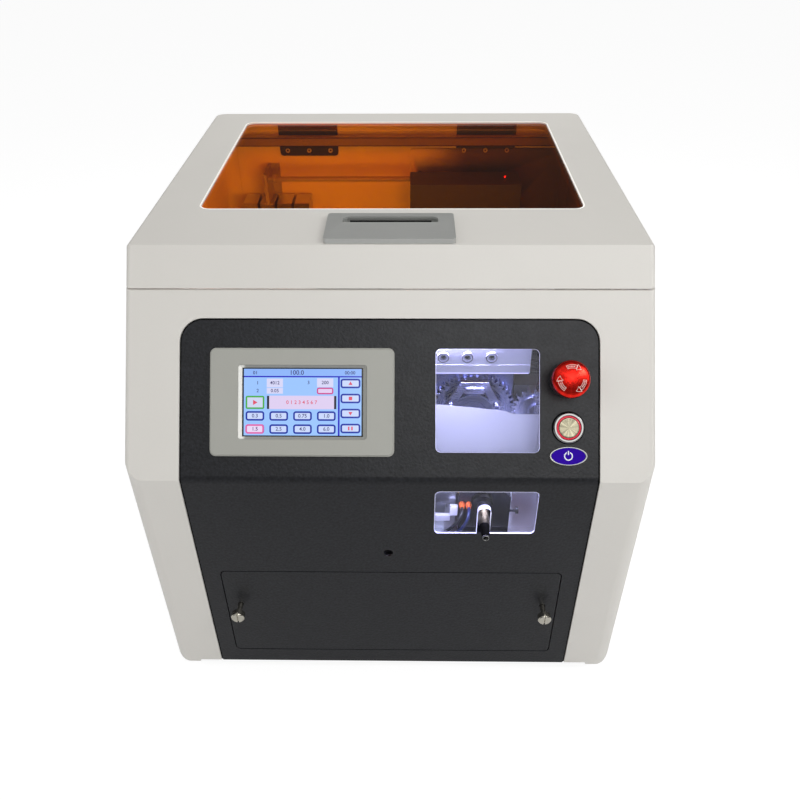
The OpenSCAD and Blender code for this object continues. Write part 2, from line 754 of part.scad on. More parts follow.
module clamp_block() color(black) {
    difference() {
        translate([0, clamp_y + clamp_len, 0]) rotate([90, 0, 0]) linear_extrude(clamp_len)
            polygon([[block_x0, deck_top], [block_x1, deck_top], [block_x1, block_top - 9],
                [block_x1 - 9, block_top], [block_x0, block_top]]);
        translate([wire_x, clamp_y - eps, wire_z]) rotate([-90, 0, 0]) cylinder(r = 3, h = clamp_len + 1);
        block(block_x0 - eps, block_x1 + eps, jaw_y0, jaw_y1, jaw_z0, block_top + eps);
    }
    translate([block_x1, clamp_y + 6, wire_z - 18]) rotate([0, 90, 0]) {
        cylinder(r = 1.2, h = 6);
        translate([0, 0, 6]) cylinder(r = 3.2, h = 2.4);
    }
}

jaw_open = jaw_travel + 0.6;
module jaw(length) block(jaw_open, length, jaw_y0 + slip, jaw_y1 - slip, jaw_z0 + slip, jaw_z1 - slip);

cyl_x0 = 19;
cyl_x1 = block_x0 - 2;
rod_r = 3;

module jaw_left() color(steel) difference() {
    union() {
        translate([wire_x, 0, 0]) mirror([1, 0, 0]) jaw(14);
        translate([wire_x - 14, (jaw_y0 + jaw_y1) / 2, wire_z]) rotate([0, -90, 0])
            cylinder(r = rod_r, h = 24);
    }
    jaw_groove();
}

module jaw_right() color(steel) difference() {
    translate([wire_x, 0, 0]) jaw(20);
    jaw_groove();
}

module jaw_groove() translate([wire_x, 0, wire_z]) rotate([-90, 0, 0]) cylinder(r = 3.6, h = 100, $fn = 4);

module clamp_cylinder() color("#dfe2e6") difference() {
    union() {
        block(cyl_x0, cyl_x1, jaw_y0 - 6, jaw_y1 + 6, wire_z - 12, wire_z + 12);
        block(cyl_x0 + 5, cyl_x1 - 9, jaw_y0 - 2, jaw_y1 + 2, deck_top, wire_z - 12);
    }
    translate([cyl_x0 + 10, (jaw_y0 + jaw_y1) / 2, wire_z]) rotate([0, 90, 0])
        cylinder(r = rod_r + slip, h = 60);
}

// Strip unit: a carriage on two rails, pulled back by an air cylinder
rail_x = 24;
rail_w = 7;
rail_h = 6;
rail_y0 = 66;
carriage_y0 = 72;
carriage_y1 = 102;
rail_y1 = carriage_y1 + strip_travel + 24;
carriage_w = 34;
blade_y = 84;
column_x = 20;
pull_x = 22;
pull_z = deck_top + 18;
pull_y0 = blade_y + 8 + strip_travel + 4;
pull_len = 66;

carriage_top = deck_top + 16;
column_w = 12;
bridge_top = wire_z + 38;

module guide_rails() color(steel) for (s = [-rail_x, rail_x])
    block(wire_x + s - rail_w / 2, wire_x + s + rail_w / 2, rail_y0, rail_y1, deck_top, deck_top + rail_h);

module strip_carriage() color("#cfd0d4") {
    difference() {
        block(wire_x - carriage_w, wire_x + carriage_w, carriage_y0, carriage_y1, deck_top + 1, carriage_top);
        for (s = [-rail_x, rail_x]) block(wire_x + s - rail_w / 2 - slip, wire_x + s + rail_w / 2 + slip,
            carriage_y0 - eps, carriage_y1 + eps, deck_top, deck_top + rail_h + slip);
    }
    for (s = [-1, 1]) translate([wire_x + s * (column_x + column_w / 2), 0, 0])
        block(-column_w / 2, column_w / 2, blade_y - 3, blade_y + 9, carriage_top, bridge_top);
    block(wire_x - column_x, wire_x + column_x, blade_y - 3, blade_y + 9, bridge_top - 8, bridge_top);
    block(pull_x - 6, wire_x - carriage_w, blade_y, blade_y + 8, pull_z - 9, pull_z + 7);
    translate([pull_x, blade_y + 8, pull_z]) rotate([-90, 0, 0]) cylinder(r = rod_r, h = 58);
}

// A strip blade: a holder between the columns with a notched blade
module blade() {
    edge = blade_travel + 0.4;
    block(-column_x + slip, column_x - slip, blade_y - 1, blade_y + 7, 8, 24);
    translate([0, blade_y + 4, 0]) rotate([90, 0, 0]) linear_extrude(2)
        polygon([[-9, 8], [-9, edge], [-2, edge], [0, edge + 1.6], [2, edge], [9, edge], [9, 8]]);
}

module blade_upper() color(steel) translate([wire_x, 0, wire_z]) blade();
module blade_lower() color(steel) translate([wire_x, 0, wire_z]) mirror([0, 0, 1]) blade();

module strip_cylinder() color("#dfe2e6") difference() {
    union() {
        block(pull_x - 12, pull_x + 12, pull_y0, pull_y0 + pull_len, pull_z - 12, pull_z + 12);
        block(pull_x - 9, pull_x + 9, pull_y0 + 4, pull_y0 + pull_len - 4, deck_top, pull_z - 12);
    }
    translate([pull_x, pull_y0 - eps, pull_z]) rotate([-90, 0, 0])
        cylinder(r = rod_r + slip, h = pull_len - 5);
}

// Push-in air fittings on the cylinders, and the air inlet in the rear cover
module fitting(r, h) {
    cylinder(r = r, h = h);
    translate([0, 0, h]) ring(r - 0.6, r - 1.8, 0, 2.5);
}

front_fit_r = 2.6;

module air_fittings() color("#e07030") {
    for (i = [0, 1])
        translate([block_x0 + front_fit_r + 0.2 + i * (2 * front_fit_r + 0.6), clamp_y, wire_z - 4])
            rotate([90, 0, 0]) fitting(front_fit_r, 3);
    for (y = [pull_y0 + 10, pull_y0 + pull_len - 10]) translate([pull_x, y, pull_z + 12]) fitting(3.6, 5);
    translate([-60, rear_y - wall, 42]) rotate([90, 0, 0]) ring(8, 3, 0, 8);
    translate([-60, rear_y - wall, 42]) rotate([-90, 0, 0]) ring(6, 3, 0, wall);
    translate([-60, rear_y, 42]) rotate([-90, 0, 0]) ring(9, 3, 0, inlet_out - 3);
    translate([-60, rear_y, 42]) rotate([-90, 0, 0]) ring(6, 3, inlet_out - 3, inlet_out);
}

// Driver box on the rear cover, and the reel spindle between it and a bracket
box_x0 = 16;
box_x1 = 145;
box_back = 29;
box_d = 42;
box_y1 = rear_y - box_back;
box_y0 = box_y1 - box_d;
box_z0 = 262;
box_z1 = 335;
spindle_r = 3;
spindle_y = box_y1 - 7;
spindle_z = 329;
spindle_x0 = -155;
bracket_t = 4;

module driver_box() color(black) {
    block(box_x0, box_x1, box_y0, box_y1, box_z0, box_z1);
    for (x = [box_x0 + 12, box_x1 - 12], z = [box_z0 + 10, box_z1 - 12]) translate([x, box_y1, z])
        rotate([-90, 0, 0]) cylinder(r = 4, h = rear_y - wall - box_y1);
}

module spool_spindle() color(steel) translate([spindle_x0, spindle_y, spindle_z]) rotate([0, 90, 0]) {
    cylinder(r = spindle_r, h = box_x0 - spindle_x0);
    translate([0, 0, 6]) cylinder(r = spindle_r + 2, h = 4);
}

module spindle_bracket() color(steel) {
    block(spindle_x0 - bracket_t, spindle_x0, spindle_y - 8, rear_y - wall, spindle_z - 30, spindle_z + 8);
    block(spindle_x0, spindle_x0 + 10, rear_y - wall - 3, rear_y - wall, spindle_z - 30, spindle_z + 8);
}

// Air valves in a row on a manifold, on the rear cover
valve_x0 = -192;
valve_n = 4;
valve_pitch = 21;
valve_z0 = 261;
valve_z1 = 299;
valve_d = 32;
valve_gap = 3;
manifold_d = 26;
manifold_h = 14;

module valve_block() color("#c9ccd0") {
    back = rear_y - wall;
    block(valve_x0, valve_x0 + valve_n * valve_pitch + valve_gap + 1, back - manifold_d, back,
        valve_z0, valve_z0 + manifold_h);
    for (i = [0 : valve_n - 1]) translate([valve_x0 + i * valve_pitch, back, valve_z0 + manifold_h])
        block(valve_gap, valve_pitch, -valve_d - 4, -4, 0, valve_z1 - valve_z0 - manifold_h);
}

// Fan inside the rear cover
fan_back = rear_y - wall;
module at_fan() translate([fan_x, fan_back, fan_z]) rotate([90, 0, 0]) children();

module fan_frame() color(black) at_fan() {
    difference() {
        between(0, fan_depth) square(fan_size, center = true);
        between(-eps, fan_depth + eps) circle(fan_size / 2 - 2);
    }
    ring(17, 3.06, 0, 4);
    for (a = [45, 135, 225, 315]) rotate([0, 0, a]) block(16.5, fan_size / 2 - 1.5, -2, 2, 0, 3);
}

module fan_rotor() color(dark_steel) at_fan() {
    ring(17, 3, 4.6, 22);
    translate([0, 0, 1]) cylinder(r = 3, h = 21);
    for (k = [0 : 6]) rotate([0, 0, k * 360 / 7]) translate([16, 0, 13]) rotate([38, 0, 0])
        block(0, 20.4, -8, 8, -0.8, 0.8);
}

// Mains inlet with three pins in its socket
module power_inlet() color(black) translate([inlet_x, rear_y, inlet_z]) rotate([-90, 0, 0]) {
    difference() {
        union() {
            between(0, 2.5) rounded_rect(40, 28, 3);
            between(-24, 0) square([inlet_w, inlet_h], center = true);
        }
        between(-18, 3) square([inlet_w - 4, inlet_h - 4], center = true);
    }
    for (p = [[-7, -2], [0, 3], [7, -2]]) translate([p[0], p[1], -18])
        block(-1, 1, -2, 2, 0, 14);
}

module power_supply() color("#c4c6c8") difference() {
    block(-195, -85, 300, 430, base_top, base_top + 48);
    for (i = [0 : 7], j = [0 : 2]) translate([-180 + i * 11, 330 + j * 30, base_top + 46])
        cylinder(r = 3, h = 5);
}

// Lamp strips, under the beam and on the panel above the upper window
lamp_w = 84;
lamp_h = 7;
lamp_v = win_v + win_h / 2 + window_lap + 1;

module lamp_bar() color("#f4f4ff") {
    block(30, beam_x1, beam_y + 4, beam_y + 14, beam_z0 - 4, beam_z0);
    on_slope() block(win_x - lamp_w / 2, win_x + lamp_w / 2, lamp_v, lamp_v + lamp_h,
        -panel_set - panel_t - 6, -panel_set - panel_t);
}

// Hinges at the rear seam: leaves inside, knuckles in slots of the cover and of the lid's skirt
pin_r = 1.2;
knuckle_n = 5;
knuckle_pitch = hinge_w / knuckle_n;
leaf_r = 4;
leaf_down = 20.2;
leaf_up = 24;

module knuckles(first, bore) for (i = [first : 2 : knuckle_n - 1]) {
    x0 = hinge_x - hinge_w / 2 + i * knuckle_pitch + slip / 2;
    translate([x0, rear_y, pin_z]) rotate([0, 90, 0]) ring(knuckle_r, bore, 0, knuckle_pitch - slip);
}

// A leaf's plate, and the strips that join it to its knuckles, above (side 1) or below (side -1)
module leaf(first, bore, side, far) {
    y1 = rear_y - wall;
    near = knuckle_r + hinge_gap;
    knuckles(first, bore);
    translate([0, 0, pin_z]) {
        z = side > 0 ? [near, far] : [-far, -near];
        translate([hinge_x, y1, 0]) rotate([90, 0, 0]) between(0, leaf_t) difference() {
            translate([-hinge_w / 2, z[0]]) square([hinge_w, z[1] - z[0]]);
            for (m = [0, 1]) mirror([m, 0]) translate([hinge_w / 2, side * far])
                mirror([0, side < 0 ? 1 : 0]) corner_cut(leaf_r);
        }
        for (i = [first : 2 : knuckle_n - 1]) {
            x0 = hinge_x - hinge_w / 2 + i * knuckle_pitch + slip / 2;
            difference() {
                block(x0, x0 + knuckle_pitch - slip, y1 - leaf_t, y1 + 0.6,
                    side > 0 ? 0 : -near, side > 0 ? near : 0);
                translate([x0 - 1, rear_y, 0]) rotate([0, 90, 0])
                    cylinder(r = knuckle_r - 0.4, h = knuckle_pitch + 2);
            }
        }
    }
}

module hinge_leaves() color(steel) both_sides() leaf(0, pin_r, -1, leaf_down);
module lid_leaves() color(steel) both_sides() leaf(1, pin_r + 0.06, 1, leaf_up);
module hinge_pins() color(steel) both_sides() translate([hinge_x - hinge_w / 2, rear_y, pin_z])
    rotate([0, 90, 0]) cylinder(r = pin_r, h = hinge_w);

// Lid
lid_r = 4;
lid_win_r = 9;
lid_win_mid = lid_y + lid_win_y + lid_win_d / 2;

module lid_section(inset) {
    w = half_w - inset;
    difference() {
        translate([-w, 0]) square([2 * w, lid_z - inset]);
        both_sides() translate([w, lid_z - inset]) corner_cut(lid_r - inset);
    }
}

module lid_form(inset, z0) intersection() {
    between(z0, lid_z - inset) plan_outline(inset);
    slope_block(inset);
    translate([0, rear_y * 1.5, 0]) rotate([90, 0, 0]) linear_extrude(rear_y * 2) lid_section(inset);
}

module lid_shell() color(cream) difference() {
    lid_form(0, joint_z + joint_gap);
    lid_form(wall, joint_z - eps);
    translate([0, lid_win_mid, 0]) between(lid_z - wall - eps, lid_z + eps)
        rounded_rect(lid_win_w, lid_win_d, lid_win_r);
    translate([0, grip_y, 0]) between(lid_z - wall - eps, lid_z + eps) grip_cup_plan(grip_cup_t + slip);
    hinge_slots(joint_z, pin_z + knuckle_r + hinge_gap);
}

module lid_window() color(amber) translate([0, lid_win_mid, 0])
    between(lid_z - wall - clear_t, lid_z - wall) rounded_rect(lid_win_w + 16, lid_win_d + 16, lid_win_r + 2);

grip_y = lid_y + 1.5;
grip_plate = 4.5;
grip_edge = 1;
grip_ridge_w = grip_w - 27;
grip_slot_r = 6;
grip_under = 1.5;
grip_finger = 10;
grip_cup_t = 1.5;
grip_lip = grip_plate - 2;

// The finger cup from above: it reaches under the ridge and a little past the slot's other edges
module grip_cup_plan(grow) {
    w = grip_ridge_w + 2 * (grip_under + grow);
    d = grip_finger + grip_slot_d + grip_under + 2 * grow;
    translate([0, grip_ridge_y - grip_finger - grow + d / 2]) rounded_rect(w, d, grip_slot_r + grow);
}

// Grip: a plate that rises to a ridge, and behind the ridge a slot into a cup below the lid's top
module lid_grip() color(grip_grey) translate([0, grip_y, lid_z]) difference() {
    union() {
        translate([0, grip_d / 2, 0]) between(0, grip_plate) rounded_rect(grip_w, grip_d, 3);
        hull() {
            block(-grip_w / 2 + grip_edge, grip_w / 2 - grip_edge, grip_edge, grip_ridge_y,
                grip_plate - 0.5, grip_plate);
            block(-grip_ridge_w / 2, grip_ridge_w / 2, grip_ridge_y - 1, grip_ridge_y, grip_h - 0.5, grip_h);
        }
        between(-grip_cup, eps) grip_cup_plan(grip_cup_t);
    }
    between(grip_cup_t - grip_cup, grip_lip) grip_cup_plan(0);
    translate([0, grip_ridge_y + grip_slot_d / 2, 0]) between(0, grip_h + 1)
        rounded_rect(grip_ridge_w, grip_slot_d, grip_slot_r);
}

// Waste drawer: its front closes the panel's lower cut-out
bin_in = 22.2;
bin_w = door_w - 2 * bin_in;
bin_z0 = base_top + 17;
bin_t = 1.5;

module drawer_front() color(panel_grey) difference() {
    on_front() between(-panel_set - panel_t, -panel_set) translate([0, door_mid_z])
        rounded_rect(door_w, door_h, win_r);
    both_sides() translate([thumb_x, -eps, thumb_z]) rotate([-90, 0, 0])
        cylinder(r = thumb_neck_r + slip, h = 10);
}

module drawer_bin() color("#8d9094") difference() {
    y0 = panel_set + panel_t;
    block(-bin_w / 2, bin_w / 2, y0, y0 + bin_d, bin_z0, door_z + door_h - 8);
    block(-bin_w / 2 + bin_t, bin_w / 2 - bin_t, y0 + bin_t, y0 + bin_d - bin_t,
        bin_z0 + bin_t, door_z + door_h);
}

module drawer_rails() color(steel) both_sides() {
    y0 = 10;
    block(bin_w / 2 - 16, bin_w / 2 + 2.4, y0, y0 + bin_d, base_top, bin_z0 - slip);
    block(bin_w / 2 + slip, bin_w / 2 + 2.4, y0, y0 + bin_d, base_top, bin_z0 + 14);
}

// Captive thumbscrew: a slotted head on a thin neck, a collar behind the drawer's front, and its
// shank in the panel's catch tab
thumb_head = 6.5;
thumb_slot = 1.2;
thumb_slot_d = 2;
collar_r = 4;
collar_t = 1.4;
shank_past = 3;

module thumbscrew(x) color(steel) translate([x, 0, thumb_z]) rotate([90, 0, 0]) {
    head = thumb_out - panel_set;
    front = head + thumb_head;
    back = -panel_set - panel_t - slip;
    between(-catch_y - catch_t - shank_past, head) circle(thumb_neck_r);
    between(back - collar_t, back) circle(collar_r);
    difference() {
        rotate_extrude() polygon([[0, head], [thumb_r - 0.6, head], [thumb_r, head + 0.6],
            [thumb_r, front - 0.8], [thumb_r - 0.8, front], [0, front]]);
        between(front - thumb_slot_d, front + eps) square([thumb_slot, 2 * thumb_r + 1], center = true);
    }
}

module thumbscrew_left() thumbscrew(-thumb_x);
module thumbscrew_right() thumbscrew(thumb_x);

at_origin() outer_shell();
at_origin() front_panel();
at_origin() base_plate();
at_origin() rear_panel();
at_origin() feet();
at_origin() upper_window();
at_origin() lower_window();
at_origin() screen_frame();
at_origin() screen_glass();
at_origin() stop_collar();
at_origin() power_bezel();
at_origin() wire_nozzle();
at_origin() nozzle_tip();
at_origin() mech_deck();
at_origin() feeder_frame();
at_origin() top_beam();
at_origin() inner_guard();
at_origin() crimp_housing();
at_origin() crimp_motor();
at_origin() clamp_block();
at_origin() clamp_cylinder();
at_origin() strip_cylinder();
at_origin() air_fittings();
at_origin() guide_rails();
at_origin() driver_box();
at_origin() spool_spindle();
at_origin() spindle_bracket();
at_origin() valve_block();
at_origin() fan_frame();
at_origin() power_inlet();
at_origin() hinge_leaves();
at_origin() hinge_pins();
at_origin() socket_screws();
at_origin() power_supply();
at_origin() drawer_rails();
at_origin() lamp_bar();
at_origin() lid_shell();
at_origin() lid_window();
at_origin() lid_grip();
at_origin() lid_leaves();
at_origin() drawer_front();
at_origin() drawer_bin();
at_origin() thumbscrew_left();
at_origin() thumbscrew_right();
at_origin() stop_stem();
at_origin() stop_head();
at_origin() power_button();
at_origin() strip_carriage();
at_origin() blade_upper();
at_origin() blade_lower();
at_origin() jaw_left();
at_origin() jaw_right();
at_origin() crimp_gear();
at_origin() arch_lever();
at_origin() crimp_pinion();
at_origin() die_top();
at_origin() die_bottom();
at_origin() die_left();
at_origin() die_right();
at_origin() fan_rotor();
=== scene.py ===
"""Looks of a bench machine that strips a wire end and crimps a ferrule on it.

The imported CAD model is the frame. Every node keeps its place: a node either gets a finish, or a
finer piece with rounded edges stands for it. Lengths are in millimetres in the machine's own
coordinates (x across, y to the rear, z up from the bottom of the case) until a piece is placed.
"""

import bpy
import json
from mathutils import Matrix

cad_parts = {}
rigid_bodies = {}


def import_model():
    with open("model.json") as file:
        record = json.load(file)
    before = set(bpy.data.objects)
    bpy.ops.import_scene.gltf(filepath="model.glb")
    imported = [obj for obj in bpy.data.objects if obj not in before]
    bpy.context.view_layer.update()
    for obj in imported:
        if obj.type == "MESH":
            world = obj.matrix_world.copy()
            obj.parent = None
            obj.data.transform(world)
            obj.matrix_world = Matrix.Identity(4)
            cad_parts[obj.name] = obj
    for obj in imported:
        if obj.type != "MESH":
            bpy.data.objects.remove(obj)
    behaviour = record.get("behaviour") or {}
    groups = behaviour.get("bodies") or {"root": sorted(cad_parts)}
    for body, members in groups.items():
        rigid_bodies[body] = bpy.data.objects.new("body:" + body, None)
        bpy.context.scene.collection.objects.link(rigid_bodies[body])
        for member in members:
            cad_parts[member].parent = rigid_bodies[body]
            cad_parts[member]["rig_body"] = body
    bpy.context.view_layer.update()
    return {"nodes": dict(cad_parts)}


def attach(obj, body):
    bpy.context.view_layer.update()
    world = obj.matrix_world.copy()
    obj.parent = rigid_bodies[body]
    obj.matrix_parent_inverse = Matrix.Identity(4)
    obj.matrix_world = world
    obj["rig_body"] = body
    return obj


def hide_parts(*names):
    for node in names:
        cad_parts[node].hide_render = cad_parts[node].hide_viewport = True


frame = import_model()

import json
import logging
import math
from dataclasses import dataclass
from enum import Enum
from typing import Callable, ClassVar, Sequence, Union

import bpy
from mathutils import Matrix, Vector

LOG = logging.getLogger("machine")
MM = 0.001

Rgb = tuple[int, int, int]
Point = tuple[float, float, float]
Flat = tuple[float, float]
Piece = bpy.types.Object


def turn(degrees: float, axis: str) -> Matrix:
    """A rotation about an axis."""
    return Matrix.Rotation(math.radians(degrees), 4, axis)


def linear(colour: Rgb) -> Point:
    """Turns a colour as it renders into linear light.

    Args:
        colour: Red, green and blue as the render shows them, 0 to 255.

    Returns:
        Red, green and blue in linear light, 0 to 1.
    """
    return tuple(
        c / 12.92 if c <= 0.04045 else ((c + 0.055) / 1.055) ** 2.4
        for c in (part / 255 for part in colour)
    )


@dataclass(frozen=True)
class Machine:
    """The main planes of the machine, which place every piece."""

    fold_height: float = 243.0
    lean: float = math.radians(37.3)
    slope_length: float = 191.4
    lid_depth: float = 360.0
    half_width: float = 215.0
    wall: float = 2.0
    foot_height: float = 12.0
    proud_front: float = 19.0
    proud_rear: float = 12.0
    wire: Flat = (79.5, 198.0)

    @property
    def lid_y(self) -> float:
        """Front edge of the lid's flat top."""
        return self.slope_length * math.sin(self.lean)

    @property
    def lid_z(self) -> float:
        """Height of the lid's flat top."""
        return self.fold_height + self.slope_length * math.cos(self.lean)

    @property
    def rear_y(self) -> float:
        """Outer face of the rear cover."""
        return self.lid_y + self.lid_depth

    @property
    def origin_y(self) -> float:
        """Depth at which the shared frame has its origin."""
        return (self.rear_y + self.proud_rear - self.proud_front) / 2

    def place(self, x: float, y: float, z: float) -> Matrix:
        """Millimetres at a point of the machine, unturned, to metres in the shared frame."""
        spot = Vector((x, y - self.origin_y, z + self.foot_height)) * MM
        return Matrix.Translation(spot) @ Matrix.Scale(MM, 4)

    def slope(self, x: float, v: float, out: float = 0) -> Matrix:
        """On the leaning front: x across, y up the lean, z out of it."""
        tilt = Matrix.Rotation(math.pi / 2 - self.lean, 4, "X")
        return self.place(0, 0, self.fold_height) @ tilt @ Matrix.Translation((x, v, out))

    def front(self, x: float, z: float, out: float = 0) -> Matrix:
        """On the upright front: x across, y up, z out of it."""
        return self.place(x, -out, z) @ turn(90, "X")

    def top(self, x: float, y: float, out: float = 0) -> Matrix:
        """On the lid's flat top, y to the rear, z up."""
        return self.place(x, y, self.lid_z + out)

    def rear(self, x: float, z: float, out: float = 0) -> Matrix:
        """On the rear cover's outside: y up, z out of it."""
        return self.place(x, self.rear_y + out, z) @ (turn(180, "Z") @ turn(90, "X"))


@dataclass(frozen=True)
class Page:
    """The display's lit page: its middle on the slope, its size, and places in shares of it."""

    x: float = -69.4
    v: float = 63.9
    width: float = 95.5
    height: float = 54.2
    first: Flat = (0.098, 0.1)
    pitch: Flat = (0.201, 0.1945)
    button: Flat = (0.158, 0.142)
    command_u: float = 0.904
    command_pitch: float = 0.2225
    start: Flat = (0.098, 0.495)
    message: Flat = (0.492, 0.496)

    def at(self, across: float, up: float) -> Flat:
        """A place in millimetres about the page's middle."""
        return (across - 0.5) * self.width, (up - 0.5) * self.height


MACHINE = Machine()
PAGE = Page()


# Shader maths


def maths(operation: str, swapped: bool = False) -> Callable[..., "Value"]:
    """Makes a method of Value out of a Math node.

    Args:
        operation: The Math node's operation.
        swapped: True where the value is the second term.

    Returns:
        The method.
    """

    def method(value: "Value", other: "Term" = 0.0) -> "Value":
        """The node's result for a value and another term."""
        first, second = (other, value) if swapped else (value, other)
        return value.graph.node("ShaderNodeMath", {"operation": operation}, {0: first, 1: second})

    return method


class Value:
    """A socket of a material's nodes, so that shader maths reads as plain expressions."""

    __add__ = __radd__ = maths("ADD")
    __sub__ = maths("SUBTRACT")
    __rsub__ = maths("SUBTRACT", True)
    __mul__ = __rmul__ = maths("MULTIPLY")
    __truediv__ = maths("DIVIDE")
    __pow__ = maths("POWER")
    __mod__ = maths("FLOORED_MODULO")
    __lt__ = maths("LESS_THAN")
    __gt__ = maths("GREATER_THAN")
    __abs__ = maths("ABSOLUTE")
    higher = maths("MAXIMUM")
    lower = maths("MINIMUM")
    root = maths("SQRT")
    angle = maths("ARCTAN2")

    def __init__(self, graph: "Graph", socket: bpy.types.NodeSocket | None) -> None:
        """Keeps the socket, where there is one, and the graph that it belongs to."""
        self.graph = graph
        self.socket = socket

    def about(self, reach: float) -> "Value":
        """The value less its middle of 0.5, times a reach."""
        return (self - 0.5) * reach

    def ramp(
        self, low: float, high: float, first: float = 0, last: float = 1, kind: str = "SMOOTHSTEP"
    ) -> "Value":
        """Goes from a first to a last value between two bounds, and holds them beyond."""
        bounds = {"Value": self, "From Min": low, "From Max": high, "To Min": first, "To Max": last}
        return self.graph.node("ShaderNodeMapRange", {"interpolation_type": kind}, bounds)


Term = Union[Value, float]
Shade = Union[Value, Rgb]


class Graph:
    """The nodes of one material, or of the world."""

    def __init__(self, owner: bpy.types.ID, place: str = "Object") -> None:
        """Empties the owner's nodes.

        Args:
            owner: The material or the world.
            place: The coordinates that its patterns read.
        """
        owner.use_nodes = True
        self.tree = owner.node_tree
        self.tree.nodes.clear()
        self.spot = self.node("ShaderNodeTexCoord", output=place)

    def node(
        self,
        kind: str,
        settings: dict[str, object] | None = None,
        inputs: dict[int | str, object] | None = None,
        output: int | str = 0,
    ) -> Value:
        """Adds a node.

        Args:
            kind: The node's type.
            settings: What is set on the node first.
            inputs: Values or links of its sockets.
            output: The socket that is returned.

        Returns:
            The wanted output, or an empty value where the node has none.
        """
        made = self.tree.nodes.new(kind)
        for key, value in (settings or {}).items():
            setattr(made, key, value)
        for key, value in (inputs or {}).items():
            if isinstance(value, Value):
                self.tree.links.new(value.socket, made.inputs[key])
            else:
                made.inputs[key].default_value = value
        return Value(self, made.outputs[output] if made.outputs else None)

    def colour(self, shade: Shade) -> object:
        """A colour as a socket takes it: a link, or plain linear values."""
        return shade if isinstance(shade, Value) else (*linear(shade), 1.0)

    def noise(self, size: float, detail: float = 2.0, stretch: Point | None = None) -> Value:
        """Soft noise about 0.5.

        Args:
            size: Size of its patches in millimetres.
            detail: Octaves of finer noise in it.
            stretch: How many times closer the pattern lies along x, y and z.

        Returns:
            The noise, mostly from 0.25 to 0.75.
        """
        spot = self.vector("MULTIPLY", self.spot, stretch) if stretch else self.spot
        sockets = {"Vector": spot, "Scale": 1 / (size * MM), "Detail": detail}
        return self.node("ShaderNodeTexNoise", None, sockets)

    def wave(self, value: Value, scale: float, detail: float) -> Value:
        """Noise about 0.5 along one value.

        Args:
            value: The value that the noise runs along.
            scale: How many patches there are to 1 of the value.
            detail: Octaves of finer noise in it.

        Returns:
            The noise.
        """
        line = self.node("ShaderNodeCombineXYZ", None, {0: value})
        sockets = {"Vector": line, "Scale": scale, "Detail": detail}
        return self.node("ShaderNodeTexNoise", None, sockets)

    def vector(self, operation: str, first: object, second: object, output: int = 0) -> Value:
        """Adds a Vector Math node on two vectors."""
        settings = {"operation": operation}
        return self.node("ShaderNodeVectorMath", settings, {0: first, 1: second}, output)

    def scaled(self, shade: Shade, tone: Value) -> Value:
        """A colour made lighter or darker by a tone about 1."""
        first = shade if isinstance(shade, Value) else linear(shade)
        return self.node("ShaderNodeVectorMath", {"operation": "SCALE"}, {0: first, "Scale": tone})

    def mix(self, factor: Value, first: Shade, second: Shade) -> Value:
        """The first colour where factor is 0 and the second where it is 1."""
        sockets = {0: factor, 6: self.colour(first), 7: self.colour(second)}
        return self.node("ShaderNodeMix", {"data_type": "RGBA"}, sockets, 2)

    def blend(self, factor: Value, first: Value, second: Value) -> Value:
        """The first shader where factor is 0 and the second where it is 1."""
        return self.node("ShaderNodeMixShader", None, {0: factor, 1: first, 2: second})

    def plane(self, place: Matrix) -> tuple[Value, Value]:
        """Coordinates in millimetres in a placed plane.

        Args:
            place: The plane's matrix.

        Returns:
            The distances along its x and its y.
        """
        local = self.vector("SUBTRACT", self.spot, place.to_translation())
        axes = [place.col[i].to_3d().normalized() / MM for i in (0, 1)]
        across, along = (self.vector("DOT_PRODUCT", local, axis, 1) for axis in axes)
        return across, along

    def bump(self, height: Value, depth: float) -> Value:
        """A normal bumped by a height, where a height of 1 is a depth in millimetres."""
        sockets = {"Strength": 1.0, "Distance": depth * MM, "Height": height}
        return self.node("ShaderNodeBump", None, sockets)

    def surface(self, **sockets: object) -> Value:
        """Adds a Principled shader.

        Args:
            sockets: Values, links or colours, with an underscore for a space in a socket's name.

        Returns:
            The shader.
        """
        named = {
            key.replace("_", " "): self.colour(value) if key.endswith("Color") else value
            for key, value in sockets.items()
        }
        return self.node("ShaderNodeBsdfPrincipled", None, named)

    def show(self, shader: Value, owner: str = "Material") -> None:
        """Makes the shader the owner's surface."""
        self.node("ShaderNodeOutput" + owner, None, {"Surface": shader})


# Finishes


@dataclass(frozen=True)
class Finish:
    """A finish that pieces are dressed in. Its material is made once."""

    name: str
    made: ClassVar[dict[str, bpy.types.Material]] = {}

    def material(self) -> bpy.types.Material:
        """Makes the finish's material at its first use.

        Returns:
            The material.
        """
        if self.name not in Finish.made:
            material = bpy.data.materials.new(self.name)
            graph = Graph(material)
            graph.show(self.shader(graph))
            Finish.made[self.name] = material
        return Finish.made[self.name]

    def shader(self, graph: Graph) -> Value:
        """Builds the material's nodes and returns its shader."""
        raise NotImplementedError

    def dress(self, piece: Piece) -> None:
        """Puts the finish all over a piece.

        Args:
            piece: The piece.
        """
        piece.data.materials.clear()
        piece.data.materials.append(self.material())
        piece.data.polygons.foreach_set("material_index", [0] * len(piece.data.polygons))


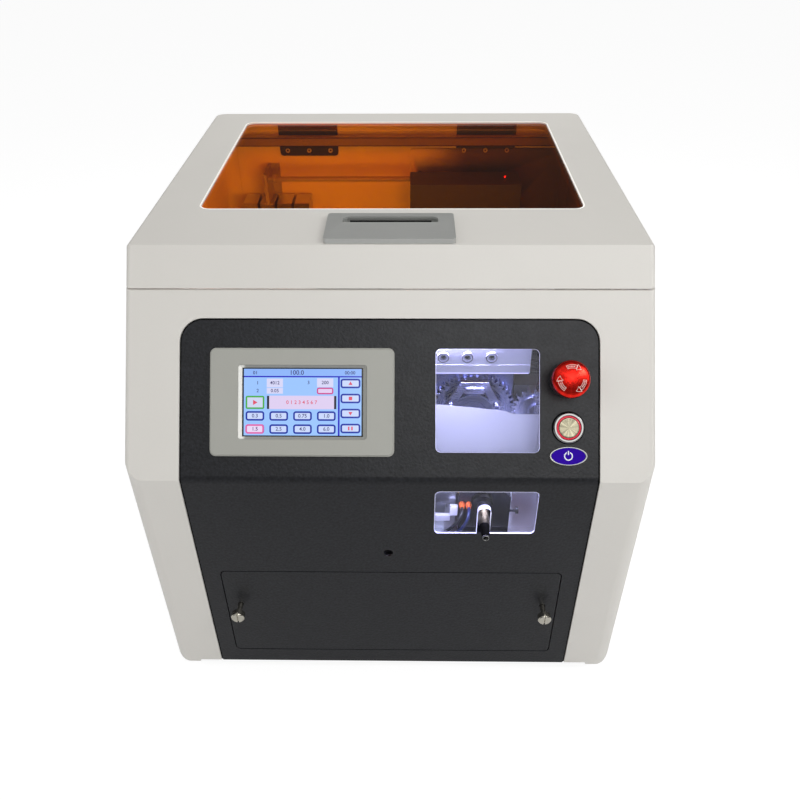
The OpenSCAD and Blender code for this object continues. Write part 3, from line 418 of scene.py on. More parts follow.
@dataclass(frozen=True)
class Coating(Finish):
    """Powder coat, moulded plastic or rubber: a fine grain over soft patches of tone."""

    colour: Rgb
    roughness: float = 0.45
    grain: float = 1.2
    depth: float = 0.03
    patch: float = 70.0
    mottle: float = 0.03
    speck: float = 0.0
    sheen: float = 0.5

    def shader(self, graph: Graph) -> Value:
        """Grain as bump, with a little of it in colour and in gloss.

        Args:
            graph: The material's nodes.

        Returns:
            The shader.
        """
        fine = graph.noise(self.grain, 3.0)
        soft = graph.noise(self.patch, 3.0)
        smear = graph.noise(self.patch / 5, 4.0)
        tone = 1 + soft.about(2 * self.mottle) + fine.about(2 * self.speck)
        return graph.surface(
            Base_Color=graph.scaled(self.colour, tone),
            Roughness=self.roughness + smear.about(0.16) + fine.about(0.06),
            Normal=graph.bump(fine, self.depth),
            Specular_IOR_Level=self.sheen,
        )


class Grain(Enum):
    """The way a metal's fine lines run: how close the noise lies along x, y and z."""

    ACROSS = (0.04, 1.0, 1.0)
    NONE = (1.0, 1.0, 1.0)


@dataclass(frozen=True)
class Metal(Finish):
    """Bare or plated metal with ground lines."""

    colour: Rgb
    roughness: float = 0.3
    lines: Grain = Grain.ACROSS
    line: float = 0.7
    depth: float = 0.006
    stain: float = 0.06
    metallic: float = 1.0

    def shader(self, graph: Graph) -> Value:
        """Lines as bump and gloss over soft stains.

        Args:
            graph: The material's nodes.

        Returns:
            The shader.
        """
        line = graph.noise(self.line, 2.0, self.lines.value)
        soft = graph.noise(24.0, 4.0)
        tone = 1 + soft.about(2 * self.stain) + line.about(0.16)
        return graph.surface(
            Base_Color=graph.scaled(self.colour, tone),
            Metallic=self.metallic,
            Roughness=self.roughness + soft.about(0.18) + line.about(0.14),
            Normal=graph.bump(line, self.depth),
        )


@dataclass(frozen=True)
class Zinc(Finish):
    """Galvanised sheet with its spangle."""

    colour: Rgb
    flake: float = 9.0

    def shader(self, graph: Graph) -> Value:
        """Cells of slightly different grey and gloss.

        Args:
            graph: The material's nodes.

        Returns:
            The shader.
        """
        sockets = {"Vector": graph.spot, "Scale": 1 / (self.flake * MM)}
        cell = graph.node("ShaderNodeTexVoronoi", None, sockets, "Color")
        grey = graph.node("ShaderNodeRGBToBW", None, {0: cell})
        smear = graph.noise(30.0, 4.0)
        return graph.surface(
            Base_Color=graph.scaled(self.colour, 0.86 + grey * 0.28),
            Metallic=0.9,
            Roughness=0.34 + grey * 0.14 + smear.about(0.2),
            Normal=graph.bump(smear, 0.02),
        )


@dataclass(frozen=True)
class Turned(Finish):
    """Metal faced on a lathe: rings about an axis as bump, and painted highlight streaks in its
    colour that change with the angle about it.
    """

    colour: Rgb
    place: Matrix
    roughness: float = 0.26
    pitch: float = 0.35
    depth: float = 0.012
    marks: Rgb | None = None
    highlight_streaks: float = 0.25

    def shader(self, graph: Graph) -> Value:
        """Rings as bump, painted highlight streaks by angle, and the printed arrows where there are
        any.

        Args:
            graph: The material's nodes.

        Returns:
            The shader.
        """
        across, along = graph.plane(self.place)
        radius = (across * across + along * along).root()
        angle = along.angle(across)
        rings = graph.wave(radius / self.pitch, 1.0, 1.0)
        # Painted highlight: lighter and darker streaks by angle, in the colour.
        ray = graph.wave(angle, 2.2, 2.0)
        colour = graph.scaled(self.colour, 1 + rings.about(0.3) + ray.about(self.highlight_streaks))
        metallic: Term = 1.0
        if self.marks:
            mark = self.arrows(radius, angle)
            colour = graph.mix(mark, colour, self.marks)
            metallic = 1 - mark
        return graph.surface(
            Base_Color=colour,
            Metallic=metallic,
            Roughness=self.roughness + rings.about(0.2),
            Normal=graph.bump(rings, self.depth),
        )

    def arrows(self, radius: Value, angle: Value) -> Value:
        """Three outlined arrows round the axis.

        Args:
            radius: Distance from the axis.
            angle: Angle about it.

        Returns:
            1 on the lines and 0 elsewhere.
        """
        third, middle, start, line = math.tau / 3, 9.8, 0.36, 0.16
        half_width, half_length, shift, tip, slant = 1.45, 4.0, 2.0, 6.0, 0.66
        dot_width, dot_pitch, dots_middle, dots_reach = 0.5, 0.9, 2.2, 2.9
        run = ((angle + math.tau - start) % third - third / 2) * middle
        off = abs(radius - middle)
        body = (off - half_width).higher(abs(run - shift) - half_length)
        head = (off - (run + tip) * slant).higher(run + shift)
        outline = abs(body.lower(head) + line) < line
        dots = (off < dot_width) * ((run * dot_pitch % 1.0) < dot_width)
        return outline.higher(dots * (abs(run - dots_middle) < dots_reach))


@dataclass(frozen=True)
class ClearSheet(Finish):
    """Clear or tinted acrylic: it tints what is behind it and mirrors a little."""

    tint: Rgb
    edge: Rgb
    facing: Point
    edge_light: float = 0.0
    smear: float = 0.006
    gloss: float = 0.01
    slant_gloss: float = 0.9

    def shader(self, graph: Graph) -> Value:
        """A tinted film under a gloss, with rough cut edges that glow as a painted highlight.

        Args:
            graph: The material's nodes.

        Returns:
            The shader.
        """
        film = graph.node("ShaderNodeBsdfTransparent", None, {"Color": graph.colour(self.tint)})
        haze = graph.noise(45.0, 4.0)
        shine = graph.surface(
            Base_Color=(255, 255, 255), Metallic=1.0, Roughness=0.04 + haze * 0.06
        )
        slant = graph.node("ShaderNodeLayerWeight", None, {"Blend": 0.5}, "Facing")
        mirror = self.gloss + slant ** 5.0 * self.slant_gloss + (haze - 0.45) * self.smear
        # The cut edges are rough and glow in their own colour: painted highlight.
        frosted_glow = graph.surface(
            Base_Color=graph.scaled(self.edge, 0.9 + haze * 0.2),
            Roughness=0.35,
            Emission_Color=self.edge,
            Emission_Strength=self.edge_light,
        )
        normal = graph.node("ShaderNodeNewGeometry", output="Normal")
        square = abs(graph.vector("DOT_PRODUCT", normal, self.facing, 1))
        return graph.blend(square < 0.75, graph.blend(mirror, film, shine), frosted_glow)


@dataclass(frozen=True)
class Glow(Finish):
    """A lit plastic part, or a painted highlight that glows though it is no lamp."""

    colour: Rgb
    light: float = 1.0
    body: float = 0.5

    def shader(self, graph: Graph) -> Value:
        """Light with soft hot spots.

        Args:
            graph: The material's nodes.

        Returns:
            The shader.
        """
        soft = graph.noise(5.0, 2.0)
        return graph.surface(
            Base_Color=graph.scaled(self.colour, self.body + soft * 0.2),
            Roughness=0.3,
            Emission_Color=graph.scaled(self.colour, 0.85 + soft * 0.3),
            Emission_Strength=self.light,
        )


@dataclass(frozen=True)
class PaintedLightFade(Finish):
    """Plastic, or a dark sheet, painted with light: painted lit at one side, turning to painted
    shade across.
    """

    place: Matrix
    pale: Rgb
    dark: Rgb
    start: float
    end: float
    wander: float = 30.0

    def shader(self, graph: Graph) -> Value:
        """Painted light to painted shade over open pores.

        Args:
            graph: The material's nodes.

        Returns:
            The shader.
        """
        across, _ = graph.plane(self.place)
        pores = graph.noise(1.6, 3.0)
        cloud = graph.noise(30.0, 2.0)
        # Painted light and shade: pale on one side, darker across, with a wandering edge.
        shade = (across + cloud.about(self.wander)).ramp(self.start, self.end)
        colour = graph.mix(shade, self.pale, self.dark)
        return graph.surface(
            Base_Color=graph.scaled(colour, 0.9 + pores * 0.2),
            Roughness=0.85 + pores.about(0.1),
            Specular_IOR_Level=0.2,
            Normal=graph.bump(pores, 0.2),
        )


@dataclass(frozen=True)
class Plate(Finish):
    """The oval plate's enamelled field in its silver rim, with a plain on/off mark."""

    place: Matrix
    width: float
    height: float
    field_colour: Rgb = (46, 6, 156)
    mark_colour: Rgb = (238, 238, 246)
    rim_colour: Rgb = (140, 140, 138)

    def shader(self, graph: Graph) -> Value:
        """Silver rim, violet field and a white ring with a bar.

        Args:
            graph: The material's nodes.

        Returns:
            The shader.
        """
        across, along = graph.plane(self.place)
        oval = ((across / (self.width / 2)) ** 2.0 + (along / (self.height / 2)) ** 2.0).root()
        rim = oval > 0.9
        ring_radius, line, opening, bar_middle, bar_reach = 3.1, 0.45, 1.3, 2.6, 1.7
        radius = (across * across + along * along).root()
        gap = (abs(across) < opening) * (along > 0)
        ring = (abs(radius - ring_radius) < line) * (1 - gap)
        bar = (abs(across) < line) * (abs(along - bar_middle) < bar_reach)
        fine = graph.noise(0.8, 2.0)
        enamel = graph.scaled(self.field_colour, 0.9 + fine * 0.2)
        colour = graph.mix(ring.higher(bar), enamel, self.mark_colour)
        return graph.surface(
            Base_Color=graph.mix(rim, colour, self.rim_colour),
            Metallic=rim,
            Roughness=0.4 + fine * 0.14 - rim * 0.22,
            Specular_IOR_Level=0.04,
            Normal=graph.bump(fine, 0.008),
        )


@dataclass(frozen=True)
class Picture(Finish):
    """The lit display: a pale blue page of plain buttons and fields in a black border."""

    page: Page
    light: float = 1.0
    border: float = 0.3
    corner: float = 2.2

    def shader(self, graph: Graph) -> Value:
        """Page, lines, buttons and fields, each painted over the last.

        Args:
            graph: The material's nodes.

        Returns:
            The shader.
        """
        page, w, h = self.page, self.page.width, self.page.height
        u, v = graph.plane(MACHINE.slope(page.x - w / 2, page.v - h / 2))
        colour = graph.scaled((154, 196, 255), 0.95 + graph.noise(60.0, 2.0) * 0.1)

        def box(
            middle: Flat, size: Flat, corner: float = 0.0, across: Value = u, up: Value = v
        ) -> Value:
            """Distance from a rounded box, below 0 inside it.

            Args:
                middle: The box's middle, in shares of the page.
                size: Its width and height, in shares too.
                corner: Its corner radius in millimetres.
                across: Place across, in millimetres.
                up: Place up.

            Returns:
                The distance.
            """
            du = abs(across - middle[0] * w) - (size[0] * w / 2 - corner)
            dv = abs(up - middle[1] * h) - (size[1] * h / 2 - corner)
            if not corner:
                return du.higher(dv)
            du, dv = du.higher(0.0), dv.higher(0.0)
            return (du * du + dv * dv).root() - corner

        def paint(mask: Value, shade: Rgb) -> None:
            """Paints a shade where the mask is 1."""
            nonlocal colour
            colour = graph.mix(mask, colour, shade)

        def button(distance: Value, line: Rgb, inside: Rgb, width: float = 1.4) -> None:
            """Paints a button's inside and its outline."""
            paint(distance < 0, inside)
            paint(abs(distance + width / 2) < width / 2, line)

        navy, blue, pale = (12, 4, 190), (4, 42, 160), (202, 216, 252)
        beyond = 50  # Millimetres added to a distance, so that nothing is drawn there
        paint(v > 0.879 * h, (140, 180, 248))
        paint(abs(v - 0.879 * h) < 0.55, navy)
        paint((abs(u - 0.806 * w) < 0.7) * (abs(v - 0.44 * h) < 0.44 * h), navy)
        # Two rows of four size buttons, drawn once and repeated, and the one that is picked
        half = (page.pitch[0] / 2, page.pitch[1] / 2)
        grid_u = (u - (page.first[0] - half[0]) * w) % (page.pitch[0] * w)
        grid_v = (v - (page.first[1] - half[1]) * h) % (page.pitch[1] * h)
        cell = box(half, page.button, self.corner, grid_u, grid_v)
        button(cell + (1 - (u < 0.8 * w) * (v < 0.39 * h)) * beyond, blue, pale)
        picked = box((0.096, 0.1), page.button, self.corner)
        button(picked, (222, 104, 170), (234, 214, 246))
        # The column of four commands
        middle = page.command_pitch / 2
        column_v = (v - (0.112 - middle) * h) % (page.command_pitch * h)
        command = box((page.command_u, middle), (0.168, 0.142), self.corner, u, column_v)
        button(command + (v > 0.87 * h) * beyond, blue, pale)
        # The message field between two dark ends, and the start button at its left
        paint(box(page.message, (0.586, 0.196)) < 0, (26, 26, 44))
        paint(box(page.message, (0.548, 0.2)) < 0, (222, 206, 240))
        button(box(page.start, (0.158, 0.196), 1.4), (70, 170, 60), (206, 214, 240), 1.3)
        # Value fields, and one with an outline
        for up, height in ((0.785, 0.13), (0.668, 0.085)):
            paint(box((0.265, up), (0.137, height)) < 0, (214, 214, 246))
        paint(box((0.69, 0.79), (0.137, 0.13)) < 0, (214, 214, 246))
        button(box((0.69, 0.668), (0.14, 0.1), 1.8), (206, 70, 140), (226, 204, 240), 1.1)
        lit = box((0.5, 0.5), (1 - 2 * self.border / w, 1 - 2 * self.border / h)) < 0
        return graph.surface(
            Base_Color=(8, 8, 10),
            Roughness=0.08 + graph.noise(20.0, 3.0) * 0.12,
            Emission_Color=graph.mix(lit, (0, 0, 0), colour),
            Emission_Strength=self.light,
        )


UP = (0.0, 0.0, 1.0)
FRONTWARD = (0.0, -1.0, 0.0)
SLOPEWARD = (0.0, -math.cos(MACHINE.lean), math.sin(MACHINE.lean))

CREAM = Coating("cream_paint", (216, 213, 207), 0.4, 1.5, 0.02, 90.0, 0.02, 0.015)
PANEL = Coating("panel_paint", (24, 25, 29), 0.4, 2.2, 0.22, 60.0, 0.1, 1.2, 0.34)
# Black rubber on the nozzle and its sleeve; elsewhere the same black is painted shadow: in the
# panel's gap, under the power bezel, in the grip's cup and along the stiffener behind the lid.
DARK_RUBBER_AND_SHADOW = Coating("rubber_and_painted_shadow", (8, 8, 9), 0.7, 1.0, 0.02, 20.0, 0.05, 0.05, 0.1)
# Brown that stands for the shade on the stiffener behind the lid's joint: painted shade.
SHADE_CAP = Coating("shaded_cap", (126, 116, 104), 0.5, 1.0, 0.02, 30.0, 0.08, 0.06)
WHITE_BLOCK = Coating("white_plastic", (240, 240, 250), 0.4, 1.0, 0.02, 20.0, 0.05, 0.05)
FRAME_PLASTIC = Coating("frame_plastic", (164, 164, 157), 0.42, 0.9, 0.03, 60.0, 0.03, 0.03)
BLACK = Coating("black_plastic", (24, 24, 27), 0.42, 0.8, 0.03, 30.0, 0.1, 0.12)
RUBBER = Coating("rubber", (26, 26, 27), 0.75, 1.4, 0.06, 14.0, 0.18, 0.1, 0.3)
# Painted shade: cream at the left turning dark across, on a sheet that stands for the shade inside
# the right half.
SHADE_LINER = PaintedLightFade("foam_liner", MACHINE.front(0, 0), (216, 213, 207), (92, 84, 78), 18.0, 88.0)
WHITE_SHEET = Coating("white_sheet", (206, 206, 222), 0.42, 1.6, 0.05, 40.0, 0.05, 0.06)
ANODISED = Coating("black_anodised", (22, 22, 30), 0.34, 0.6, 0.015, 26.0, 0.14, 0.08, 0.3)
DRIVER = Coating("driver_paint", (56, 61, 66), 0.5, 0.8, 0.02, 26.0, 0.1, 0.08)
ORANGE = Coating("orange_plastic", (226, 104, 46), 0.35, 0.7, 0.02, 9.0, 0.06)
TUBE_BLUE = Coating("blue_tube", (12, 30, 78), 0.34, 0.7, 0.02, 30.0, 0.08)
TUBE_BLACK = Coating("black_tube", (18, 20, 26), 0.34, 0.7, 0.02, 30.0, 0.1)
GREY_PAINT = Coating("grey_paint", (150, 148, 144), 0.4, 0.8, 0.02, 24.0, 0.08, 0.03)
HINGE = Coating("hinge_black", (38, 36, 36), 0.36, 0.8, 0.02, 24.0, 0.12, 0.1)
STEEL = Metal("steel", (186, 188, 192), 0.28)
DARK_STEEL = Metal("dark_steel", (112, 117, 146), 0.3, Grain.NONE, 1.0, 0.01, 0.12)
GEAR = Turned("gear_steel", (128, 133, 166), MACHINE.front(*MACHINE.wire), 0.26, 2.4, 0.05)
ARCH = Metal("arch_steel", (172, 176, 208), 0.24)
ALUMINIUM = Metal("aluminium", (206, 208, 212), 0.34, line=0.9)
NICKEL = Metal("nickel", (196, 192, 180), 0.2, Grain.NONE, 0.8, 0.004)
SCREW = Metal("screw_steel", (206, 204, 226), 0.3, Grain.NONE, 0.8, 0.004, 0.06, 0.4)
CHROME = Metal("chrome", (132, 132, 131), 0.1, Grain.NONE, 1.2, 0.003, 0.03)
NOZZLE = Metal("nozzle_steel", (82, 78, 68), 0.42, Grain.NONE, 1.4, 0.006, 0.15)
GRIP_ZINC = Metal("grip_zinc", (180, 181, 178), 0.38, Grain.ACROSS, 0.6, 0.004, 0.03, 0.4)
ZINC = Zinc("zinc_sheet", (178, 182, 186))
CLEAR_SLOPE = ClearSheet("clear_acrylic", (244, 246, 255), (226, 226, 255), SLOPEWARD, 1.0)
CLEAR_FRONT = ClearSheet(
    "clear_acrylic_front", (240, 242, 254), (226, 226, 255), FRONTWARD, 0.9, 0.01, 0.025
)
AMBER = ClearSheet("amber_acrylic", (250, 186, 18), (226, 120, 30), UP, 0.0, 0.004, 0.008, 0.8)
# Painted highlight: a pale glowing ring for the light caught by the edge round the lid's window.
EDGE_HIGHLIGHT = Glow("lid_edge_highlight", (252, 250, 244), 0.3, 0.86)
LAMP = Glow("lamp", (214, 210, 255), 2.0)
RED_LAMP = Glow("red_lamp", (228, 52, 74), 0.55, 0.4)
DRIVER_LAMP = Glow("driver_lamp", (255, 40, 40), 3.0)
FIGURE_INK = Glow("figure_ink", (40, 18, 120), 0.5, 0.1)
SIGN_INK = Glow("sign_ink", (214, 70, 96), 0.8, 0.2)
DISPLAY = Picture("display", PAGE)


# Hand work on meshes


def mode(kind: str) -> None:
    """Goes to edit mode, or back to object mode."""
    bpy.ops.object.mode_set(mode=kind)


def begin() -> None:
    """Leaves edit mode and deselects everything."""
    if bpy.context.mode != "OBJECT":
        mode("OBJECT")
    bpy.ops.object.select_all(action="DESELECT")


def pick(piece: Piece) -> None:
    """Makes a piece the only selected one and the active one."""
    begin()
    piece.select_set(True)
    bpy.context.view_layer.objects.active = piece


def modify(piece: Piece, kind: str, **settings: object) -> None:
    """Adds a modifier and applies it.

    Args:
        piece: The piece to change.
        kind: The modifier's type.
        settings: The modifier's settings.
    """
    pick(piece)
    bpy.ops.object.modifier_add(type=kind)
    modifier = piece.modifiers[-1]
    for key, value in settings.items():
        setattr(modifier, key, value)
    bpy.ops.object.modifier_apply(modifier=modifier.name)


def cut(piece: Piece, tool: Piece) -> None:
    """Cuts a tool's shape out of a piece and removes the tool."""
    modify(piece, "BOOLEAN", operation="DIFFERENCE", object=tool, solver="EXACT")
    bpy.data.objects.remove(tool)


def soften(piece: Piece, width: float, segments: int = 2) -> None:
    """Rounds a piece's edges and smooths what is round.

    Args:
        piece: The piece to finish.
        width: Width of the rounding, in the mesh's own unit; 0 leaves edges sharp.
        segments: Steps across the rounding.
    """
    sharp, smooth = 35, 50
    if width:
        modify(
            piece, "BEVEL", width=width, segments=segments, limit_method="ANGLE",
            angle_limit=math.radians(sharp), miter_outer="MITER_ARC",
        )
    pick(piece)
    bpy.ops.object.shade_smooth_by_angle(angle=math.radians(smooth if width else sharp))
    modify(piece, "WEIGHTED_NORMAL", keep_sharp=True, weight=60)


def settle(piece: Piece) -> Piece:
    """Works a piece's place, turn and scale into its mesh."""
    bpy.ops.object.transform_apply(location=True, rotation=True, scale=True)
    return piece


def place(piece: Piece, matrix: Matrix) -> Piece:
    """Puts a piece in its place, in its mesh."""
    pick(piece)
    piece.matrix_world = matrix
    return settle(piece)


def join(pieces: Sequence[Piece], name: str) -> Piece:
    """Makes one piece of several.

    Args:
        pieces: The pieces, all in place.
        name: The new piece's name.

    Returns:
        The joined piece.
    """
    begin()
    for piece in pieces:
        piece.select_set(True)
    bpy.context.view_layer.objects.active = pieces[0]
    bpy.ops.object.join()
    pieces[0].name = name
    return pieces[0]


def repeat(piece: Piece, places: Sequence[Matrix], name: str) -> Piece:
    """Copies a piece modelled in millimetres to each place and joins the copies.

    Args:
        piece: The piece, not placed yet.
        places: Where the copies go.
        name: The joined piece's name.

    Returns:
        The joined piece.
    """
    copies = []
    for _ in places[1:]:
        pick(piece)
        bpy.ops.object.duplicate()
        copies.append(bpy.context.active_object)
    copies.append(piece)
    return join([place(copy, matrix) for copy, matrix in zip(copies, places)], name)


class Work:
    """One mesh shaped by hand in edit mode, in millimetres, with z out of the face it stands on."""

    def __init__(self, name: str) -> None:
        """Takes the primitive just added and opens it for editing.

        Args:
            name: The piece's name.
        """
        self.piece = bpy.context.active_object
        self.piece.name = name
        mode("EDIT")
        self.select()

    @staticmethod
    def select() -> None:
        """Selects the whole mesh."""
        bpy.ops.mesh.select_all(action="SELECT")

    @classmethod
    def sheet(cls, name: str, width: float, height: float, corner: float = 0) -> "Work":
        """Starts from a flat rectangle.

        Args:
            name: The piece's name.
            width: Its size along x.
            height: Its size along y.
            corner: Radius of its corners.

        Returns:
            The open work.
        """
        begin()
        bpy.ops.mesh.primitive_plane_add(size=1)
        work = cls(name)
        bpy.ops.transform.resize(value=(width, height, 1))
        if corner:
            bpy.ops.mesh.bevel(offset=corner, segments=6, affect="VERTICES")
            work.select()
        return work

    @classmethod
    def disc(cls, name: str, rx: float, ry: float | None = None, steps: int = 48) -> "Work":
        """Starts from a flat disc or oval.

        Args:
            name: The piece's name.
            rx: Half its width along x.
            ry: Half its height along y, where that isn't rx.
            steps: Corners round it.

        Returns:
            The open work.
        """
        begin()
        bpy.ops.mesh.primitive_circle_add(vertices=steps, radius=1, fill_type="NGON")
        work = cls(name)
        bpy.ops.transform.resize(value=(rx, rx if ry is None else ry, 1))
        return work

    @classmethod
    def chain(cls, name: str, points: Sequence[Point]) -> "Work":
        """Starts from a line of points drawn one after another.

        Args:
            name: The piece's name.
            points: The points, in order.

        Returns:
            The open work, with nothing but the line.
        """
        begin()
        bpy.ops.mesh.primitive_plane_add(size=1)
        work = cls(name)
        bpy.ops.mesh.merge(type="CENTER")
        bpy.ops.transform.translate(value=points[0])
        for last, point in zip(points, points[1:]):
            step = Vector(point) - Vector(last)
            bpy.ops.mesh.extrude_region_move(TRANSFORM_OT_translate={"value": step})
        work.select()
        return work

    @classmethod
    def turned(cls, name: str, profile: Sequence[Flat], steps: int = 64) -> "Work":
        """Spins a profile about z.

        Args:
            name: The piece's name.
            profile: Its points, each a radius and a height.
            steps: Steps round it.

        Returns:
            The open work.
        """
        work = cls.chain(name, [(radius, 0.0, height) for radius, height in profile])
        bpy.ops.mesh.spin(
            steps=steps, angle=math.tau, center=(0, 0, 0), axis=(0, 0, 1), use_auto_merge=True
        )
        work.select()
        bpy.ops.mesh.remove_doubles(threshold=0.0005)
        return work

    def raise_face(self, height: float) -> "Work":
        """Extrudes the selected face along z."""
        bpy.ops.mesh.extrude_region_move(TRANSFORM_OT_translate={"value": (0, 0, height)})
        return self

    def step_in(self, inward: float, height: float = 0.0) -> "Work":
        """Insets the selected face and lifts what is left of it.

        Args:
            inward: Width of the inset.
            height: How far the rest is lifted.

        Returns:
            The work.
        """
        bpy.ops.mesh.inset(thickness=inward, depth=0)
        if height:
            bpy.ops.transform.translate(value=(0, 0, height))
        return self

    def open_face(self) -> "Work":
        """Takes the selected face out."""
        bpy.ops.mesh.delete(type="FACE")
        return self

    def done(self, bevel: float = 0.0) -> Piece:
        """Closes the work.

        Args:
            bevel: Width of the rounding on its edges.

        Returns:
            The piece, still in millimetres at the origin.
        """
        self.select()
        bpy.ops.mesh.normals_make_consistent(inside=False)
        mode("OBJECT")
        soften(self.piece, bevel)
        return self.piece

    def placed(self, matrix: Matrix, bevel: float = 0.0) -> Piece:
        """Closes the work and puts the piece in its place."""
        return place(self.done(bevel), matrix)


def tube(name: str, points: Sequence[Point], radius: float) -> Piece:
    """A round tube along a smooth line.

    Args:
        name: The piece's name.
        points: Points of the machine that the line is drawn towards.
        radius: The tube's radius.

    Returns:
        The placed tube.
    """
    piece = Work.chain(name, points).piece
    mode("OBJECT")
    pick(piece)
    bpy.ops.object.convert(target="CURVE")
    mode("EDIT")
    bpy.ops.curve.select_all(action="SELECT")
    bpy.ops.curve.spline_type_set(type="NURBS")
    mode("OBJECT")
    curve = piece.data
    curve.splines[0].order_u = 4
    curve.splines[0].use_endpoint_u = True
    curve.splines[0].resolution_u = 6
    curve.bevel_depth = radius
    curve.bevel_resolution = 3
    curve.use_fill_caps = True
    bpy.ops.object.convert(target="MESH")
    bpy.ops.object.shade_smooth_by_angle(angle=math.radians(40))
    return place(piece, MACHINE.place(0, 0, 0))


def figure(text: str, size: float, x: float, y: float) -> Piece:
    """A plain number as a thin mesh, in millimetres, centred on its place.

    Args:
        text: The digits.
        size: Height of the line of type.
        x: Its middle across.
        y: Its middle up.

    Returns:
        The figure, not placed yet.
    """
    begin()
    bpy.ops.object.text_add()
    letters = bpy.context.active_object.data
    letters.body = text
    letters.size = size
    letters.align_x = letters.align_y = "CENTER"
    letters.extrude = 0.02
    letters.offset = 0.04
    letters.resolution_u = 3
    bpy.ops.object.convert(target="MESH")
    piece = bpy.context.active_object
    piece.location = (x, y, 0)
    return settle(piece)


@dataclass(frozen=True)
class Node:
    """What becomes of a CAD node: a finer copy takes its place, or at width 0 it gets a finish."""

    name: str
    finish: Finish
    width: float = 0.0
    segments: int = 2
    slot: str = ""


class Assembly:
    """A sub-assembly that builds its pieces and says what each is."""

    nodes: ClassVar[Sequence[Node]] = ()

    def build(self) -> None:
        """Finishes the CAD nodes and adds the rest."""
        for node in self.nodes:
            if node.width:
                self.refine(node)
            else:
                self.dress(node)
        self.add()

    def add(self) -> None:
        """Adds the pieces that the CAD model doesn't have."""

    @staticmethod
    def carry(
        piece: Piece, finish: Finish, slot: str = "", body: str = "chassis", *nodes: str
    ) -> None:
        """Dresses a piece and ties it to its body.

        Args:
            piece: The finished piece, in place.
            finish: Its finish.
            slot: The record's material slot, where that isn't the finish's name; not used.
            body: The body that it moves with.
            nodes: CAD nodes that it stands for.
        """
        finish.dress(piece)
        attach(piece, body)
        if nodes:
            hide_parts(*nodes)
        LOG.info("%s rides on %s, %d faces", piece.name, body, len(piece.data.polygons))

    @staticmethod
    def dress(node: Node) -> None:
        """Gives a CAD node its finish.

        Args:
            node: The node, which keeps its shape.
        """
        piece = frame["nodes"][node.name]
        if not piece.material_slots:
            piece.data.materials.append(node.finish.material())
        for slot in piece.material_slots:
            slot.material = node.finish.material()
        LOG.info("%s keeps its shape", node.name)

    @staticmethod
    def copy(node: str) -> tuple[Piece, str]:
        """Copies a CAD node with its faces joined, and nothing selected in it.

        Args:
            node: The CAD node.

        Returns:
            The copy and the body it moves with.
        """
        source = frame["nodes"][node]
        body = source["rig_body"]
        pick(source)
        bpy.ops.object.duplicate()
        piece = bpy.context.active_object
        piece.name = node + "_fine"
        for key in list(piece.keys()):
            del piece[key]
        piece.parent = None
        piece.matrix_world = Matrix.Identity(4)
        mode("EDIT")
        Work.select()
        bpy.ops.mesh.remove_doubles(threshold=2e-6)
        bpy.ops.mesh.dissolve_limited(angle_limit=math.radians(0.4))
        bpy.ops.mesh.select_all(action="DESELECT")
        mode("OBJECT")
        return piece, body

    @classmethod
    def refine(cls, node: Node) -> None:
        """Puts a copy of a CAD node with rounded edges in its place.

        Args:
            node: The node.
        """
        piece, body = cls.copy(node.name)
        soften(piece, node.width * MM, node.segments)
        cls.carry(piece, node.finish, node.slot, body, node.name)


# Sub-assemblies


